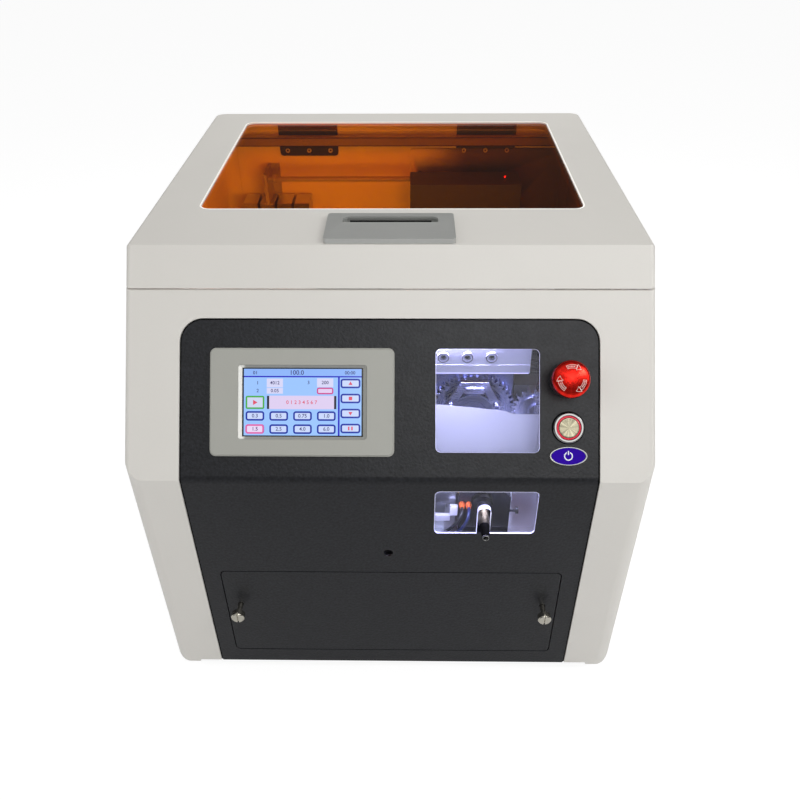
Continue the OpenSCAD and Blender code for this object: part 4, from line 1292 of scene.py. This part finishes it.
@dataclass
class Case(Assembly):
    """Painted case, lid, base and feet, with what is screwed to the rear."""

    nodes = (
        Node("outer_shell", CREAM, 0.6, 3),
        Node("lid_shell", CREAM, 0.7, 3),
        Node("rear_panel", CREAM, 0.3),
        Node("feet", RUBBER, 0.8, 3),
        Node("base_plate", ZINC, 0.3),
        Node("lid_grip", GRIP_ZINC, 0.8, 3),
        Node("lid_window", AMBER),
        Node("hinge_leaves", HINGE, 0.15, slot="black_plastic"),
        Node("lid_leaves", HINGE, 0.15, slot="black_plastic"),
        Node("hinge_pins", STEEL),
    )
    screw_x: Sequence[float] = (-184.0, -62.0, 62.0, 184.0)
    screw_z: Sequence[float] = (14.0, 340.0)
    screw_slot: Flat = (4.2, 0.9)
    screw_slot_floor: float = 1.3
    liner_x: Flat = (16.0, 203.0)
    liner_z: Flat = (168.0, 355.0)
    side_liner: float = 250.0
    liner_thickness: float = 2.0
    corner: float = 13.0
    post_x: Sequence[float] = (28.0, 133.0)
    post_z: Sequence[float] = (272.0, 323.0)
    post_hole: float = 4.4
    gap_shadow_width: float = 338.6
    gap_shadow_length: float = 131.2
    gap_shadow_corner: float = 18.6
    gap_shadow_depth: float = 2.2
    gap_shadow_radius: float = 0.8
    cap_width: float = 396.0
    cap_z: Flat = (360.6, 371.2)
    cap_y: float = 462.9
    bead: float = 0.9
    cup_rear: float = 47.75
    shadow_strip: Flat = (70.0, 6.4)
    shadow_strip_drop: float = 2.9
    highlight_size: Flat = (344.7, 254.3)
    highlight_corner: float = 10.3
    highlight_width: float = 1.3
    highlight_y: float = 315.9

    def add(self) -> None:
        """Adds the screws, the painted-shade liner, the brown band of painted shade on the
        stiffener, the black bead of painted shadow in the panel's gap, the black strip of painted
        shadow in the grip's cup and the painted highlight round the lid's window.
        """
        self.rear_screws()
        self.foam_liner()
        self.rear_cap()
        self.panel_seal()
        self.grip_lining()
        self.window_trim()

    def rear_screws(self) -> None:
        """Pan-head screws that hold the rear cover."""
        profile = [(0, 0), (3.4, 0), (3.4, 0.9), (2.9, 1.6), (1.8, 2.1), (0, 2.2)]
        head = Work.turned("rear_screws", profile, 32).done(0.15)
        for width, height in (self.screw_slot, self.screw_slot[::-1]):
            tool = Work.sheet("slot_tool", width, height).raise_face(2)
            cut(head, tool.placed(Matrix.Translation((0, 0, self.screw_slot_floor))))
        places = [MACHINE.rear(x, z) for x in self.screw_x for z in self.screw_z]
        self.carry(repeat(head, places, "rear_screws"), NICKEL)

    def foam_liner(self) -> None:
        """A sheet of painted shade, cream turning dark, on the inside of the rear cover's right
        half, of the corner and of the side, where the inside lies in shade.
        """
        (x0, x1), (z0, z1) = self.liner_x, self.liner_z
        height, z, inside = z1 - z0, (z0 + z1) / 2, MACHINE.rear_y - MACHINE.wall
        spot = MACHINE.place((x0 + x1) / 2, inside - 0.05, z) @ turn(90, "X")
        sheet = Work.sheet("foam_liner", x1 - x0, height, 4).raise_face(self.liner_thickness).placed(spot, 0.5)
        for post in [(x, MACHINE.rear_y, up) for x in self.post_x for up in self.post_z]:
            hole = Work.disc("post_hole", self.post_hole).raise_face(3 * self.liner_thickness)
            cut(sheet, hole.placed(MACHINE.place(*post) @ turn(90, "X")))
        self.carry(sheet, SHADE_LINER, "black_plastic")
        side, inset = MACHINE.half_width - MACHINE.wall, self.corner * 0.42
        side_y = MACHINE.rear_y - self.corner - self.side_liner / 2
        for name, width, degrees, x, y in (
            ("foam_liner_side", self.side_liner, -90, side - 0.05, side_y),
            ("foam_liner_corner", self.corner * 1.2, -45, side - inset, inside - inset),
        ):
            spot = MACHINE.place(x, y, z) @ (turn(degrees, "Z") @ turn(90, "X"))
            strip = Work.sheet(name, width, height, 2).raise_face(self.liner_thickness).placed(spot, 0.5)
            self.carry(strip, SHADE_LINER, "black_plastic")

    def cap_band(self, name: str, z: float, height: float, thickness: float) -> Piece:
        """A band along the stiffener behind the lid's joint."""
        band = Work.sheet(name, self.cap_width, height).raise_face(thickness)
        return band.placed(MACHINE.front(0, z, -self.cap_y), 0.1)

    def rear_cap(self) -> None:
        """A brown band between darker edges on that stiffener: painted shade for the band behind
        the lid's joint, which lies in shade.
        """
        z0, z1 = self.cap_z
        cap = self.cap_band("rear_cap", (z0 + z1) / 2, z1 - z0 - 2 * self.bead, 0.4)
        self.carry(cap, SHADE_CAP, "black_plastic")
        beads = [self.cap_band("rear_bead", z, self.bead, 0.5) for z in (z0 + 0.5, z1 - 0.5)]
        self.carry(join(beads, "rear_beads"), DARK_RUBBER_AND_SHADOW, "rubber")

    def panel_seal(self) -> None:
        """Black bead in the gap round the front panel: painted shadow for the shade in that gap."""
        lean, depth = MACHINE.lean, self.gap_shadow_depth
        half, corner, length = self.gap_shadow_width / 2, self.gap_shadow_corner, self.gap_shadow_length

        def up_slope(x: float, v: float) -> Point:
            """A point in the gap beside the leaning part."""
            y = v * math.sin(lean) + depth * math.cos(lean)
            return x, y, MACHINE.fold_height + v * math.cos(lean) - depth * math.sin(lean)

        side = [(-half, depth, z) for z in (2, 4, 80, 160, 230, 239, 241)]
        side += [up_slope(-half, v) for v in (0.4, 2, 12, 60, length - corner)]
        for angle in (math.radians(degrees) for degrees in range(75, -1, -15)):
            x = corner - half - corner * math.sin(angle)
            side.append(up_slope(x, length - corner + corner * math.cos(angle)))
        side.append(up_slope(-half / 2, length))
        other = [(-x, y, z) for x, y, z in reversed(side)]
        self.carry(tube("panel_seal", side + other, self.gap_shadow_radius), DARK_RUBBER_AND_SHADOW, "rubber")

    def window_trim(self) -> None:
        """Painted highlight on the cut edge of the lid's sheet round its window: a thin pale ring
        that glows a little.
        """
        work = Work.sheet("window_trim", *self.highlight_size, self.highlight_corner)
        highlight_size = work.step_in(self.highlight_width).open_face().placed(MACHINE.top(0, self.highlight_y, 0.04))
        self.carry(highlight_size, EDGE_HIGHLIGHT, "cream_paint", "lid")

    def grip_lining(self) -> None:
        """Black strip low on the rear wall of the grip's finger cup: painted shadow for the deep
        shade there.
        """
        z, y = MACHINE.lid_z - self.shadow_strip_drop, MACHINE.lid_y + self.cup_rear
        strip = Work.sheet("grip_lining", *self.shadow_strip).raise_face(0.3)
        shadow_strip = strip.placed(MACHINE.front(0, z, -y), 0.1)
        self.carry(shadow_strip, DARK_RUBBER_AND_SHADOW, "rubber", "lid")


@dataclass
class FrontPanel(Assembly):
    """The dark panel, its windows, and the waste drawer with its screws."""

    nodes = (
        Node("drawer_front", PANEL, 0.4, 3),
        Node("drawer_bin", ZINC, 0.3),
        Node("drawer_rails", ZINC, 0.2),
        Node("upper_window", CLEAR_SLOPE, 0.35),
        Node("lower_window", CLEAR_FRONT, 0.35, slot="clear_acrylic"),
        Node("thumbscrew_left", NICKEL, 0.25),
        Node("thumbscrew_right", NICKEL, 0.25),
    )
    bend: float = 4.0
    edge: float = 0.7

    def build(self) -> None:
        """Builds the panel first, then the rest."""
        self.bent_panel()
        super().build()

    def bent_panel(self) -> None:
        """Puts a panel with a round bend, as in bent sheet, in the place of the folded one."""
        piece, body = self.copy("front_panel")
        fold = MACHINE.place(0, 1.0, MACHINE.fold_height - 0.34).to_translation()
        for vertex in piece.data.vertices:
            vertex.select = math.hypot(vertex.co.y - fold.y, vertex.co.z - fold.z) < 0.5 * MM
        mode("EDIT")
        bpy.ops.mesh.bevel(offset=self.bend * MM, segments=8, affect="EDGES")
        mode("OBJECT")
        soften(piece, self.edge * MM, 3)
        self.carry(piece, PANEL, "", body, "front_panel")


@dataclass
class OperatorScreen(Assembly):
    """Touch screen: moulded frame, lit display and its figures."""

    nodes = (Node("screen_frame", FRAME_PLASTIC, 0.6, 3), Node("screen_glass", DISPLAY))
    face: float = 2.0
    type_size: float = 4.2
    ink: float = 0.04
    lip_margin: Flat = (7.6, 5.1)
    lip_width: float = 1.9
    lip_rise: float = 1.98
    lip_taper: float = 0.982

    def add(self) -> None:
        """Adds the lip and what stands on the page."""
        self.lip()
        self.figures()
        self.signs()

    def lip(self) -> None:
        """Moulded lip that slopes down to the display; its left wall is a painted highlight and the
        rest painted shade.
        """
        width, height = PAGE.width + self.lip_margin[0], PAGE.height + self.lip_margin[1]
        work = Work.sheet("screen_lip", width, height, self.lip_width)
        work.step_in(self.lip_width, -self.lip_width)
        bpy.ops.transform.resize(value=(self.lip_taper, 1, 1))
        lip = work.open_face().placed(MACHINE.slope(PAGE.x, PAGE.v, self.face + self.lip_rise))
        rim, middle = PAGE.width / 2, MACHINE.slope(PAGE.x, PAGE.v)
        # Painted highlight on the left wall, turning to painted shade across the rest.
        lit, shaded = (240, 239, 232), (156, 156, 150)
        tone = PaintedLightFade("lip_painted_light", middle, lit, shaded, -rim - 0.6, 2.4 - rim, 0.6)
        self.carry(lip, tone, "frame_plastic")

    def figures(self) -> None:
        """Plain numbers on the size buttons and in the fields."""
        rows = (("1.5", "2.5", "4.0", "6.0"), ("0.3", "0.5", "0.75", "1.0"))
        marks = []
        for row, texts in enumerate(rows):
            for column, text in enumerate(texts):
                steps = zip(PAGE.first, PAGE.pitch, (column, row))
                spot = PAGE.at(*(first + pitch * step for first, pitch, step in steps))
                marks.append(figure(text, self.type_size, *spot))
        for text, across, up in (
            ("4012", 0.265, 0.785), ("0.05", 0.265, 0.668), ("200", 0.69, 0.79),
            ("1", 0.12, 0.785), ("2", 0.12, 0.668), ("3", 0.55, 0.79),
            ("00:00", 0.9, 0.935), ("01", 0.1, 0.935),
        ):
            marks.append(figure(text, self.type_size * 0.92, *PAGE.at(across, up)))
        marks.append(figure("100.0", self.type_size * 1.25, *PAGE.at(0.45, 0.937)))
        spot = MACHINE.slope(PAGE.x, PAGE.v, self.face + 0.03)
        self.carry(place(join(marks, "screen_figures"), spot), FIGURE_INK, "display")

    def sign(self, work: Work, x: float, y: float, degrees: float = 0) -> Piece:
        """A flat sign as thick as the ink, turned and moved to its place on the page."""
        piece = place(work.raise_face(self.ink).done(), turn(degrees, "Z"))
        return place(piece, Matrix.Translation((x, y, 0)))

    def signs(self) -> None:
        """Plain signs on the command buttons (up, stop, down and cut) and on the start button."""
        cut_at, down_at, stop_at, up_at = (
            PAGE.at(PAGE.command_u, 0.1125 + row * PAGE.command_pitch) for row in range(4)
        )
        marks = [
            self.sign(Work.disc("sign", 1.9, steps=3), *up_at),
            self.sign(Work.disc("sign", 1.9, steps=3), *down_at, -180),
            self.sign(Work.sheet("sign", 2.8, 2.8), *stop_at),
        ]
        for shift in (-1.3, 1.3):
            marks.append(self.sign(Work.sheet("sign", 1.2, 3.0), cut_at[0] + shift, cut_at[1]))
        marks.append(self.sign(Work.disc("sign", 2.4, steps=3), *PAGE.at(*PAGE.start), -90))
        marks.append(figure("0 1 2 3 4 5 6 7", self.type_size, *PAGE.at(*PAGE.message)))
        spot = MACHINE.slope(PAGE.x, PAGE.v, self.face + 0.02)
        self.carry(place(join(marks, "screen_signs"), spot), SIGN_INK, "display")


@dataclass
class Controls(Assembly):
    """Stop button, lit power button and the oval plate under it."""

    nodes = (
        Node("stop_collar", BLACK, 0.4),
        Node("stop_stem", STEEL, 0.3),
        Node("power_bezel", CHROME, 0.35, 3),
    )
    stop_at: Flat = (142.5, 82.3)
    power_at: Flat = (144.4, 44.0)
    plate_v: float = 21.2
    plate: Flat = (30.3, 15.1)
    plate_sunk: float = 0.98

    def add(self) -> None:
        """Adds the heads and the plate."""
        self.stop_head()
        self.power_button()
        self.oval_plate()

    def stop_head(self) -> None:
        """Red anodised head: a low cone on a rounded rim, hollow below."""
        profile = [
            (5.08, 10), (11.4, 10), (12.6, 10.8), (13.6, 12.6), (14.5, 15.2), (14.95, 17.6),
            (14.95, 19.6), (14.7, 20.9), (14.1, 22.0), (13.1, 22.9), (11.8, 23.6), (9.2, 24.4),
            (6.4, 25.1), (3.2, 25.65), (1.2, 25.9), (0, 25.95), (0, 18.3), (5.08, 18.3), (5.08, 10),
        ]
        spot = MACHINE.slope(*self.stop_at)
        red = Turned("red_anodised", (236, 42, 32), spot, 0.24, 0.5, 0.06, (236, 214, 206), 1.7)
        head = Work.turned("stop_knob", profile, 96).placed(spot)
        self.carry(head, red, "", "stop_knob", "stop_head")

    def power_button(self) -> None:
        """A brushed disc in a lit ring, and a black ring under the bezel that paints its shadow
        outline.
        """
        spot = MACHINE.slope(*self.power_at)
        ring = [
            (8.3, -2), (9.5, -2), (9.6, -1), (9.6, 1.2), (9.3, 1.9), (8.5, 2.1), (8.3, 1.8),
            (8.3, -2),
        ]
        disc = [(0, -16), (8.2, -16), (8.2, 2.4), (7.8, 2.8), (6.9, 2.95), (0, 2.6)]
        # Painted shadow: a black ring round the bezel's foot.
        bezel_shadow = [
            (11.5, -0.9), (13.3, -0.9), (13.3, -0.6), (12.9, -0.4), (11.5, -0.4), (11.5, -0.9),
        ]
        brushed = Turned("brushed_disc", (138, 133, 113), spot, 0.24, 0.3, 0.06, None, 2.6)
        for name, profile, finish, slot, body, *nodes in (
            ("power_ring", ring, RED_LAMP, "lamp", "power_key"),
            ("power_disc", disc, brushed, "steel", "power_key", "power_button"),
            ("power_washer", bezel_shadow, DARK_RUBBER_AND_SHADOW, "rubber", "chassis"),
        ):
            self.carry(Work.turned(name, profile).placed(spot), finish, slot, body, *nodes)

    def oval_plate(self) -> None:
        """Oval plate with a raised rim."""
        spot = MACHINE.slope(self.power_at[0], self.plate_v, -self.plate_sunk)
        width, height = self.plate
        work = Work.disc("oval_plate", width / 2, height / 2, 72).raise_face(1.5)
        plate = work.step_in(1.1).step_in(0.3, -0.5).placed(spot, 0.25)
        self.carry(plate, Plate("oval_enamel", spot, width, height), "chrome")


@dataclass
class WireHead(Assembly):
    """Everything along the wire line: nozzle, clamp, strip unit and crimp head."""

    nodes = (
        Node("wire_nozzle", DARK_RUBBER_AND_SHADOW, 0.25, slot="black_plastic"),
        Node("nozzle_tip", CHROME, 0.15),
        Node("clamp_block", ANODISED, 0.5),
        Node("jaw_left", STEEL, 0.2),
        Node("jaw_right", STEEL, 0.2),
        Node("clamp_cylinder", ALUMINIUM, 0.6),
        Node("strip_cylinder", ALUMINIUM, 0.6),
        Node("strip_carriage", ALUMINIUM, 0.4),
        Node("blade_upper", STEEL, 0.15),
        Node("blade_lower", STEEL, 0.15),
        Node("guide_rails", STEEL, 0.4),
        Node("crimp_housing", DARK_STEEL, 0.6),
        Node("crimp_gear", GEAR, 0.12, slot="dark_steel"),
        Node("crimp_pinion", ARCH, 0.12, slot="steel"),
        Node("arch_lever", ARCH, 0.5, slot="steel"),
        Node("crimp_motor", BLACK, 0.4),
        Node("air_fittings", ORANGE, 0.2),
        Node("die_top", STEEL),
        Node("die_bottom", STEEL),
        Node("die_left", STEEL),
        Node("die_right", STEEL),
    )
    block_depth: float = -31.0
    blocks: Sequence[tuple[float, float, float, float]] = (
        (46.1, 174.6, 13.2, 6.2), (55.6, 183.3, 6.8, 10.6),
    )
    tube_radius: float = 1.4

    def add(self) -> None:
        """Adds the nozzle's sleeve and barrel, the blocks and the tubes."""
        self.sleeve()
        self.connector_blocks()
        self.tubes()

    def sleeve(self) -> None:
        """Black sleeve on the nozzle's outer end, and the metal barrel behind it."""
        sleeve = [
            (3.6, 4.6), (4.42, 4.6), (4.5, 4.9), (3.16, 16.8), (3.0, 17.02), (2.7, 17.02),
            (3.6, 4.6),
        ]
        barrel = [(4.3, -14), (4.72, -14), (4.72, 2), (4.44, 4.7), (4.0, 4.7), (4.3, 2), (4.3, -14)]
        for name, profile, finish, slot in (
            ("nozzle_sleeve", sleeve, DARK_RUBBER_AND_SHADOW, "black_plastic"),
            ("nozzle_barrel", barrel, NOZZLE, "nickel"),
        ):
            piece = Work.turned(name, profile, 48).placed(MACHINE.front(*MACHINE.wire))
            self.carry(piece, finish, slot)

    def connector_blocks(self) -> None:
        """White connector blocks beside the clamp's cylinder."""
        pieces = []
        for x, z, width, height in self.blocks:
            block = Work.sheet("connector", width, height, 0.6).raise_face(4)
            pieces.append(block.placed(MACHINE.front(x, z, self.block_depth), 0.3))
        self.carry(join(pieces, "connector_blocks"), WHITE_BLOCK, "white_sheet")

    def tubes(self) -> None:
        """Air tubes from the fittings down through the deck's side."""
        routes = {
            "tube_clamp_close": [
                (62.3, 21, 194), (62.3, 16, 194), (60, 10, 189), (50, 10, 176), (36, 16, 162),
                (18, 26, 156), (4, 60, 154),
            ],
            "tube_clamp_open": [
                (68.1, 21, 194), (68.1, 14, 193), (66, 9, 185), (54, 9, 170), (38, 14, 158),
                (20, 34, 154), (8, 66, 154),
            ],
            "tube_strip_pull": [
                (22, 122, 186), (22, 122, 196), (20, 128, 206), (8, 146, 204), (-6, 162, 190),
                (-14, 172, 168), (-16, 176, 153),
            ],
            "tube_strip_push": [
                (22, 168, 186), (22, 168, 195), (18, 174, 203), (4, 182, 200), (-8, 190, 184),
                (-14, 196, 166), (-16, 198, 153),
            ],
        }
        for index, (name, route) in enumerate(routes.items()):
            finish = TUBE_BLUE if index % 2 else TUBE_BLACK
            self.carry(tube(name, route, self.tube_radius), finish, "black_plastic")


@dataclass
class Bay(Assembly):
    """The lit bay behind the upper window, and its deck."""

    nodes = (
        Node("mech_deck", ALUMINIUM, 0.5),
        Node("feeder_frame", ANODISED, 0.5),
        Node("top_beam", WHITE_SHEET, 0.5, 3),
        Node("inner_guard", WHITE_SHEET, 0.3),
        Node("socket_screws", SCREW, 0.3, slot="nickel"),
        Node("lamp_bar", LAMP),
    )
    screw_x: Sequence[float] = (44.6, 64.6, 84.7)
    screw_z: float = 312.3
    beam_y: float = 78.0

    def add(self) -> None:
        """Adds painted shadow: a dark ring round each of the beam's screws, and the dark in its
        socket.
        """
        # Black rings and hex discs: painted shadow round the screw heads and in their sockets.
        profile = [(4.1, -0.1), (4.7, -0.1), (4.7, 0.12), (4.1, 0.12), (4.1, -0.1)]
        groove = Work.turned("groove", profile, 40).done()
        socket = Work.disc("socket", 2.6, steps=6).raise_face(0.3).done()
        face = 2 - self.beam_y
        marks = []
        for piece, name, out in (
            (groove, "beam_grooves", face), (socket, "beam_sockets", face - 2.9)
        ):
            places = [MACHINE.front(x, self.screw_z, out) for x in self.screw_x]
            marks.append(repeat(piece, places, name))
        self.carry(join(marks, "screw_marks"), BLACK)


@dataclass
class Rear(Assembly):
    """What stands inside and on the rear cover."""

    nodes = (
        Node("driver_box", DRIVER, 0.8, 3, "black_anodised"),
        Node("spool_spindle", GREY_PAINT, 0.4, slot="steel"),
        Node("spindle_bracket", GREY_PAINT, 0.3, slot="zinc_sheet"),
        Node("fan_frame", BLACK, 0.5),
        Node("fan_rotor", BLACK, 0.2),
        Node("power_inlet", BLACK, 0.3),
        Node("power_supply", ZINC, 0.4),
        Node("valve_block", ALUMINIUM, 0.5),
    )
    lamp_at: Point = (128, 429.6, 335)

    def add(self) -> None:
        """Adds the small red lamp on top of the driver box."""
        dome = [(0, 0), (1.1, 0), (1.1, 0.5), (0.9, 1.0), (0.5, 1.4), (0, 1.5)]
        dot = Work.turned("driver_lamp", dome, 24).placed(MACHINE.place(*self.lamp_at))
        self.carry(dot, DRIVER_LAMP, "lamp")


# Stage


@dataclass(frozen=True)
class Lamp:
    """An area lamp, which shines down the z of its place."""

    name: str
    place: Matrix
    size: Flat
    power: float
    mirrored: bool = True
    colour: Point = (1.0, 1.0, 1.0)

    @classmethod
    def softbox(
        cls, name: str, spot: Point, size: float, power: float, mirrored: bool = True,
        aim: Point = (0.0, 0.0, 0.2),
    ) -> "Lamp":
        """A square lamp of a side and a power, aimed from its spot at a point."""
        toward = (Vector(aim) - Vector(spot)).to_track_quat("-Z", "Y").to_matrix().to_4x4()
        return cls(name, Matrix.Translation(spot) @ toward, (size, size), power, mirrored)

    @classmethod
    def strip(cls, name: str, spot: Matrix, tilt: float, power: float) -> "Lamp":
        """What one of the bay's light strips throws from a spot, tilted by some degrees."""
        tilted = Matrix.Translation(spot.to_translation()) @ turn(tilt, "X")
        return cls(name, tilted, (0.07, 0.008), power, True, (0.78, 0.76, 1.0))

    def build(self) -> None:
        """Adds the lamp."""
        begin()
        bpy.ops.object.light_add(type="AREA")
        lamp = bpy.context.active_object
        lamp.name = self.name
        lamp.data.shape = "RECTANGLE"
        lamp.data.size, lamp.data.size_y = self.size
        lamp.data.energy = self.power
        lamp.data.color = self.colour
        lamp.matrix_world = self.place
        lamp.visible_camera = False
        lamp.visible_glossy = self.mirrored


@dataclass(frozen=True)
class Stage:
    """Floor, light and camera."""

    eye: Point = (0.018057, -0.689085, 0.674530)
    yaw: float = math.radians(-1.05)
    pitch: float = math.radians(36.58)
    roll: float = math.radians(-0.45)
    lens: float = 34.39
    lamps: Sequence[Lamp] = (
        Lamp.softbox("lamp_front", (0.45, -1.75, 1.85), 1.3, 13.5),
        Lamp.softbox("lamp_left", (-1.8, -0.7, 1.1), 1.2, 7.4, False),
        Lamp.softbox("lamp_right", (1.9, -0.5, 1.2), 1.2, 6.0),
        Lamp.softbox("lamp_over", (0.0, 0.8, 0.95), 0.7, 3.4, False, (0.0, 0.15, 0.4)),
        Lamp.softbox("lamp_spark", (1.25, -0.75, 1.45), 0.36, 6.0),
        Lamp.softbox("lamp_inside", (-0.09, 0.0, 0.35), 0.1, 0.3, False, (-0.09, 0.24, 0.25)),
        Lamp.strip("bay_light_front", MACHINE.slope(56, 116, -10), 18, 0.34),
        Lamp.strip("bay_light_beam", MACHINE.place(74, 112, 290), 20, 0.46),
        Lamp.strip("bay_light_deck", MACHINE.place(110, 40, 232), 0, 0.12),
        Lamp.strip("bay_light_low", MACHINE.place(50, 9, 205), 48, 0.028),
    )

    def build(self) -> None:
        """Builds the stage."""
        bpy.context.scene.view_settings.view_transform = "Standard"
        self.camera()
        self.floor()
        self.world()
        for lamp in self.lamps:
            lamp.build()

    def camera(self) -> None:
        """Camera at the photograph's place."""
        begin()
        bpy.ops.object.camera_add(location=self.eye)
        camera = bpy.context.active_object
        camera.name = "camera"
        camera.data.lens = self.lens
        camera.data.sensor_width = 36.0
        camera.data.clip_start = 0.01
        ahead = Vector((
            math.sin(self.yaw) * math.cos(self.pitch),
            math.cos(self.yaw) * math.cos(self.pitch),
            -math.sin(self.pitch),
        ))
        level = Vector((math.cos(self.yaw), -math.sin(self.yaw), 0))
        above = level.cross(ahead)
        right = level * math.cos(self.roll) + above * math.sin(self.roll)
        upward = above * math.cos(self.roll) - level * math.sin(self.roll)
        axes = Matrix((right, upward, -ahead)).transposed()
        camera.matrix_world = Matrix.Translation(self.eye) @ axes.to_4x4()
        bpy.context.scene.camera = camera

    @staticmethod
    def floor() -> None:
        """Pale floor that stays white to the eye and keeps the shadow."""
        begin()
        bpy.ops.mesh.primitive_plane_add(size=16)
        plane = bpy.context.active_object
        plane.name = "floor"
        material = bpy.data.materials.new("floor")
        graph = Graph(material)
        seen = graph.node("ShaderNodeLightPath", output="Is Camera Ray")
        tone = 0.99 + graph.noise(400.0, 2.0) * 0.02
        matt = graph.surface(Base_Color=graph.scaled((236, 236, 236), tone), Roughness=0.8)
        sockets = {"Color": (1.0, 1.0, 1.0, 1.0), "Strength": 1.16}
        white = graph.node("ShaderNodeEmission", None, sockets)
        graph.show(graph.blend(seen * 0.75, matt, white))
        plane.data.materials.append(material)

    @staticmethod
    def world() -> None:
        """Even light from all round, white to the eye; reflections are darker behind and below."""
        world = bpy.data.worlds.new("studio")
        bpy.context.scene.world = world
        graph = Graph(world, "Generated")
        camera, glossy, through = (
            graph.node("ShaderNodeLightPath", output=f"Is {ray} Ray")
            for ray in ("Camera", "Glossy", "Transmission")
        )
        depth, height = (
            graph.node("ShaderNodeSeparateXYZ", None, {0: graph.spot}, axis) for axis in "YZ"
        )
        walls = depth.ramp(-0.5, 0.4, 0.62, 0.14, "LINEAR")
        glow = walls * height.ramp(0.2, 0.6, 0.25, 1.0, "LINEAR")
        light, mirror, white = (
            graph.node("ShaderNodeBackground", None, {"Color": colour, "Strength": strength})
            for colour, strength in (
                ((1.0, 1.0, 1.0, 1.0), 0.43), (glow, 1.0), ((1.0, 1.0, 1.0, 1.0), 1.0)
            )
        )
        lit = graph.blend(glossy, light, mirror)
        graph.show(graph.blend(camera.higher(through), lit, white), "World")


def main() -> None:
    """Builds the stage and every sub-assembly in order."""
    logging.basicConfig(level=logging.INFO, format="%(name)s: %(message)s")
    Stage().build()
    for assembly in (
        Case(), FrontPanel(), OperatorScreen(), Controls(), WireHead(), Bay(), Rear()
    ):
        assembly.build()
        LOG.info("%s is done", type(assembly).__name__)
    begin()


if __name__ == "__main__":
    main()
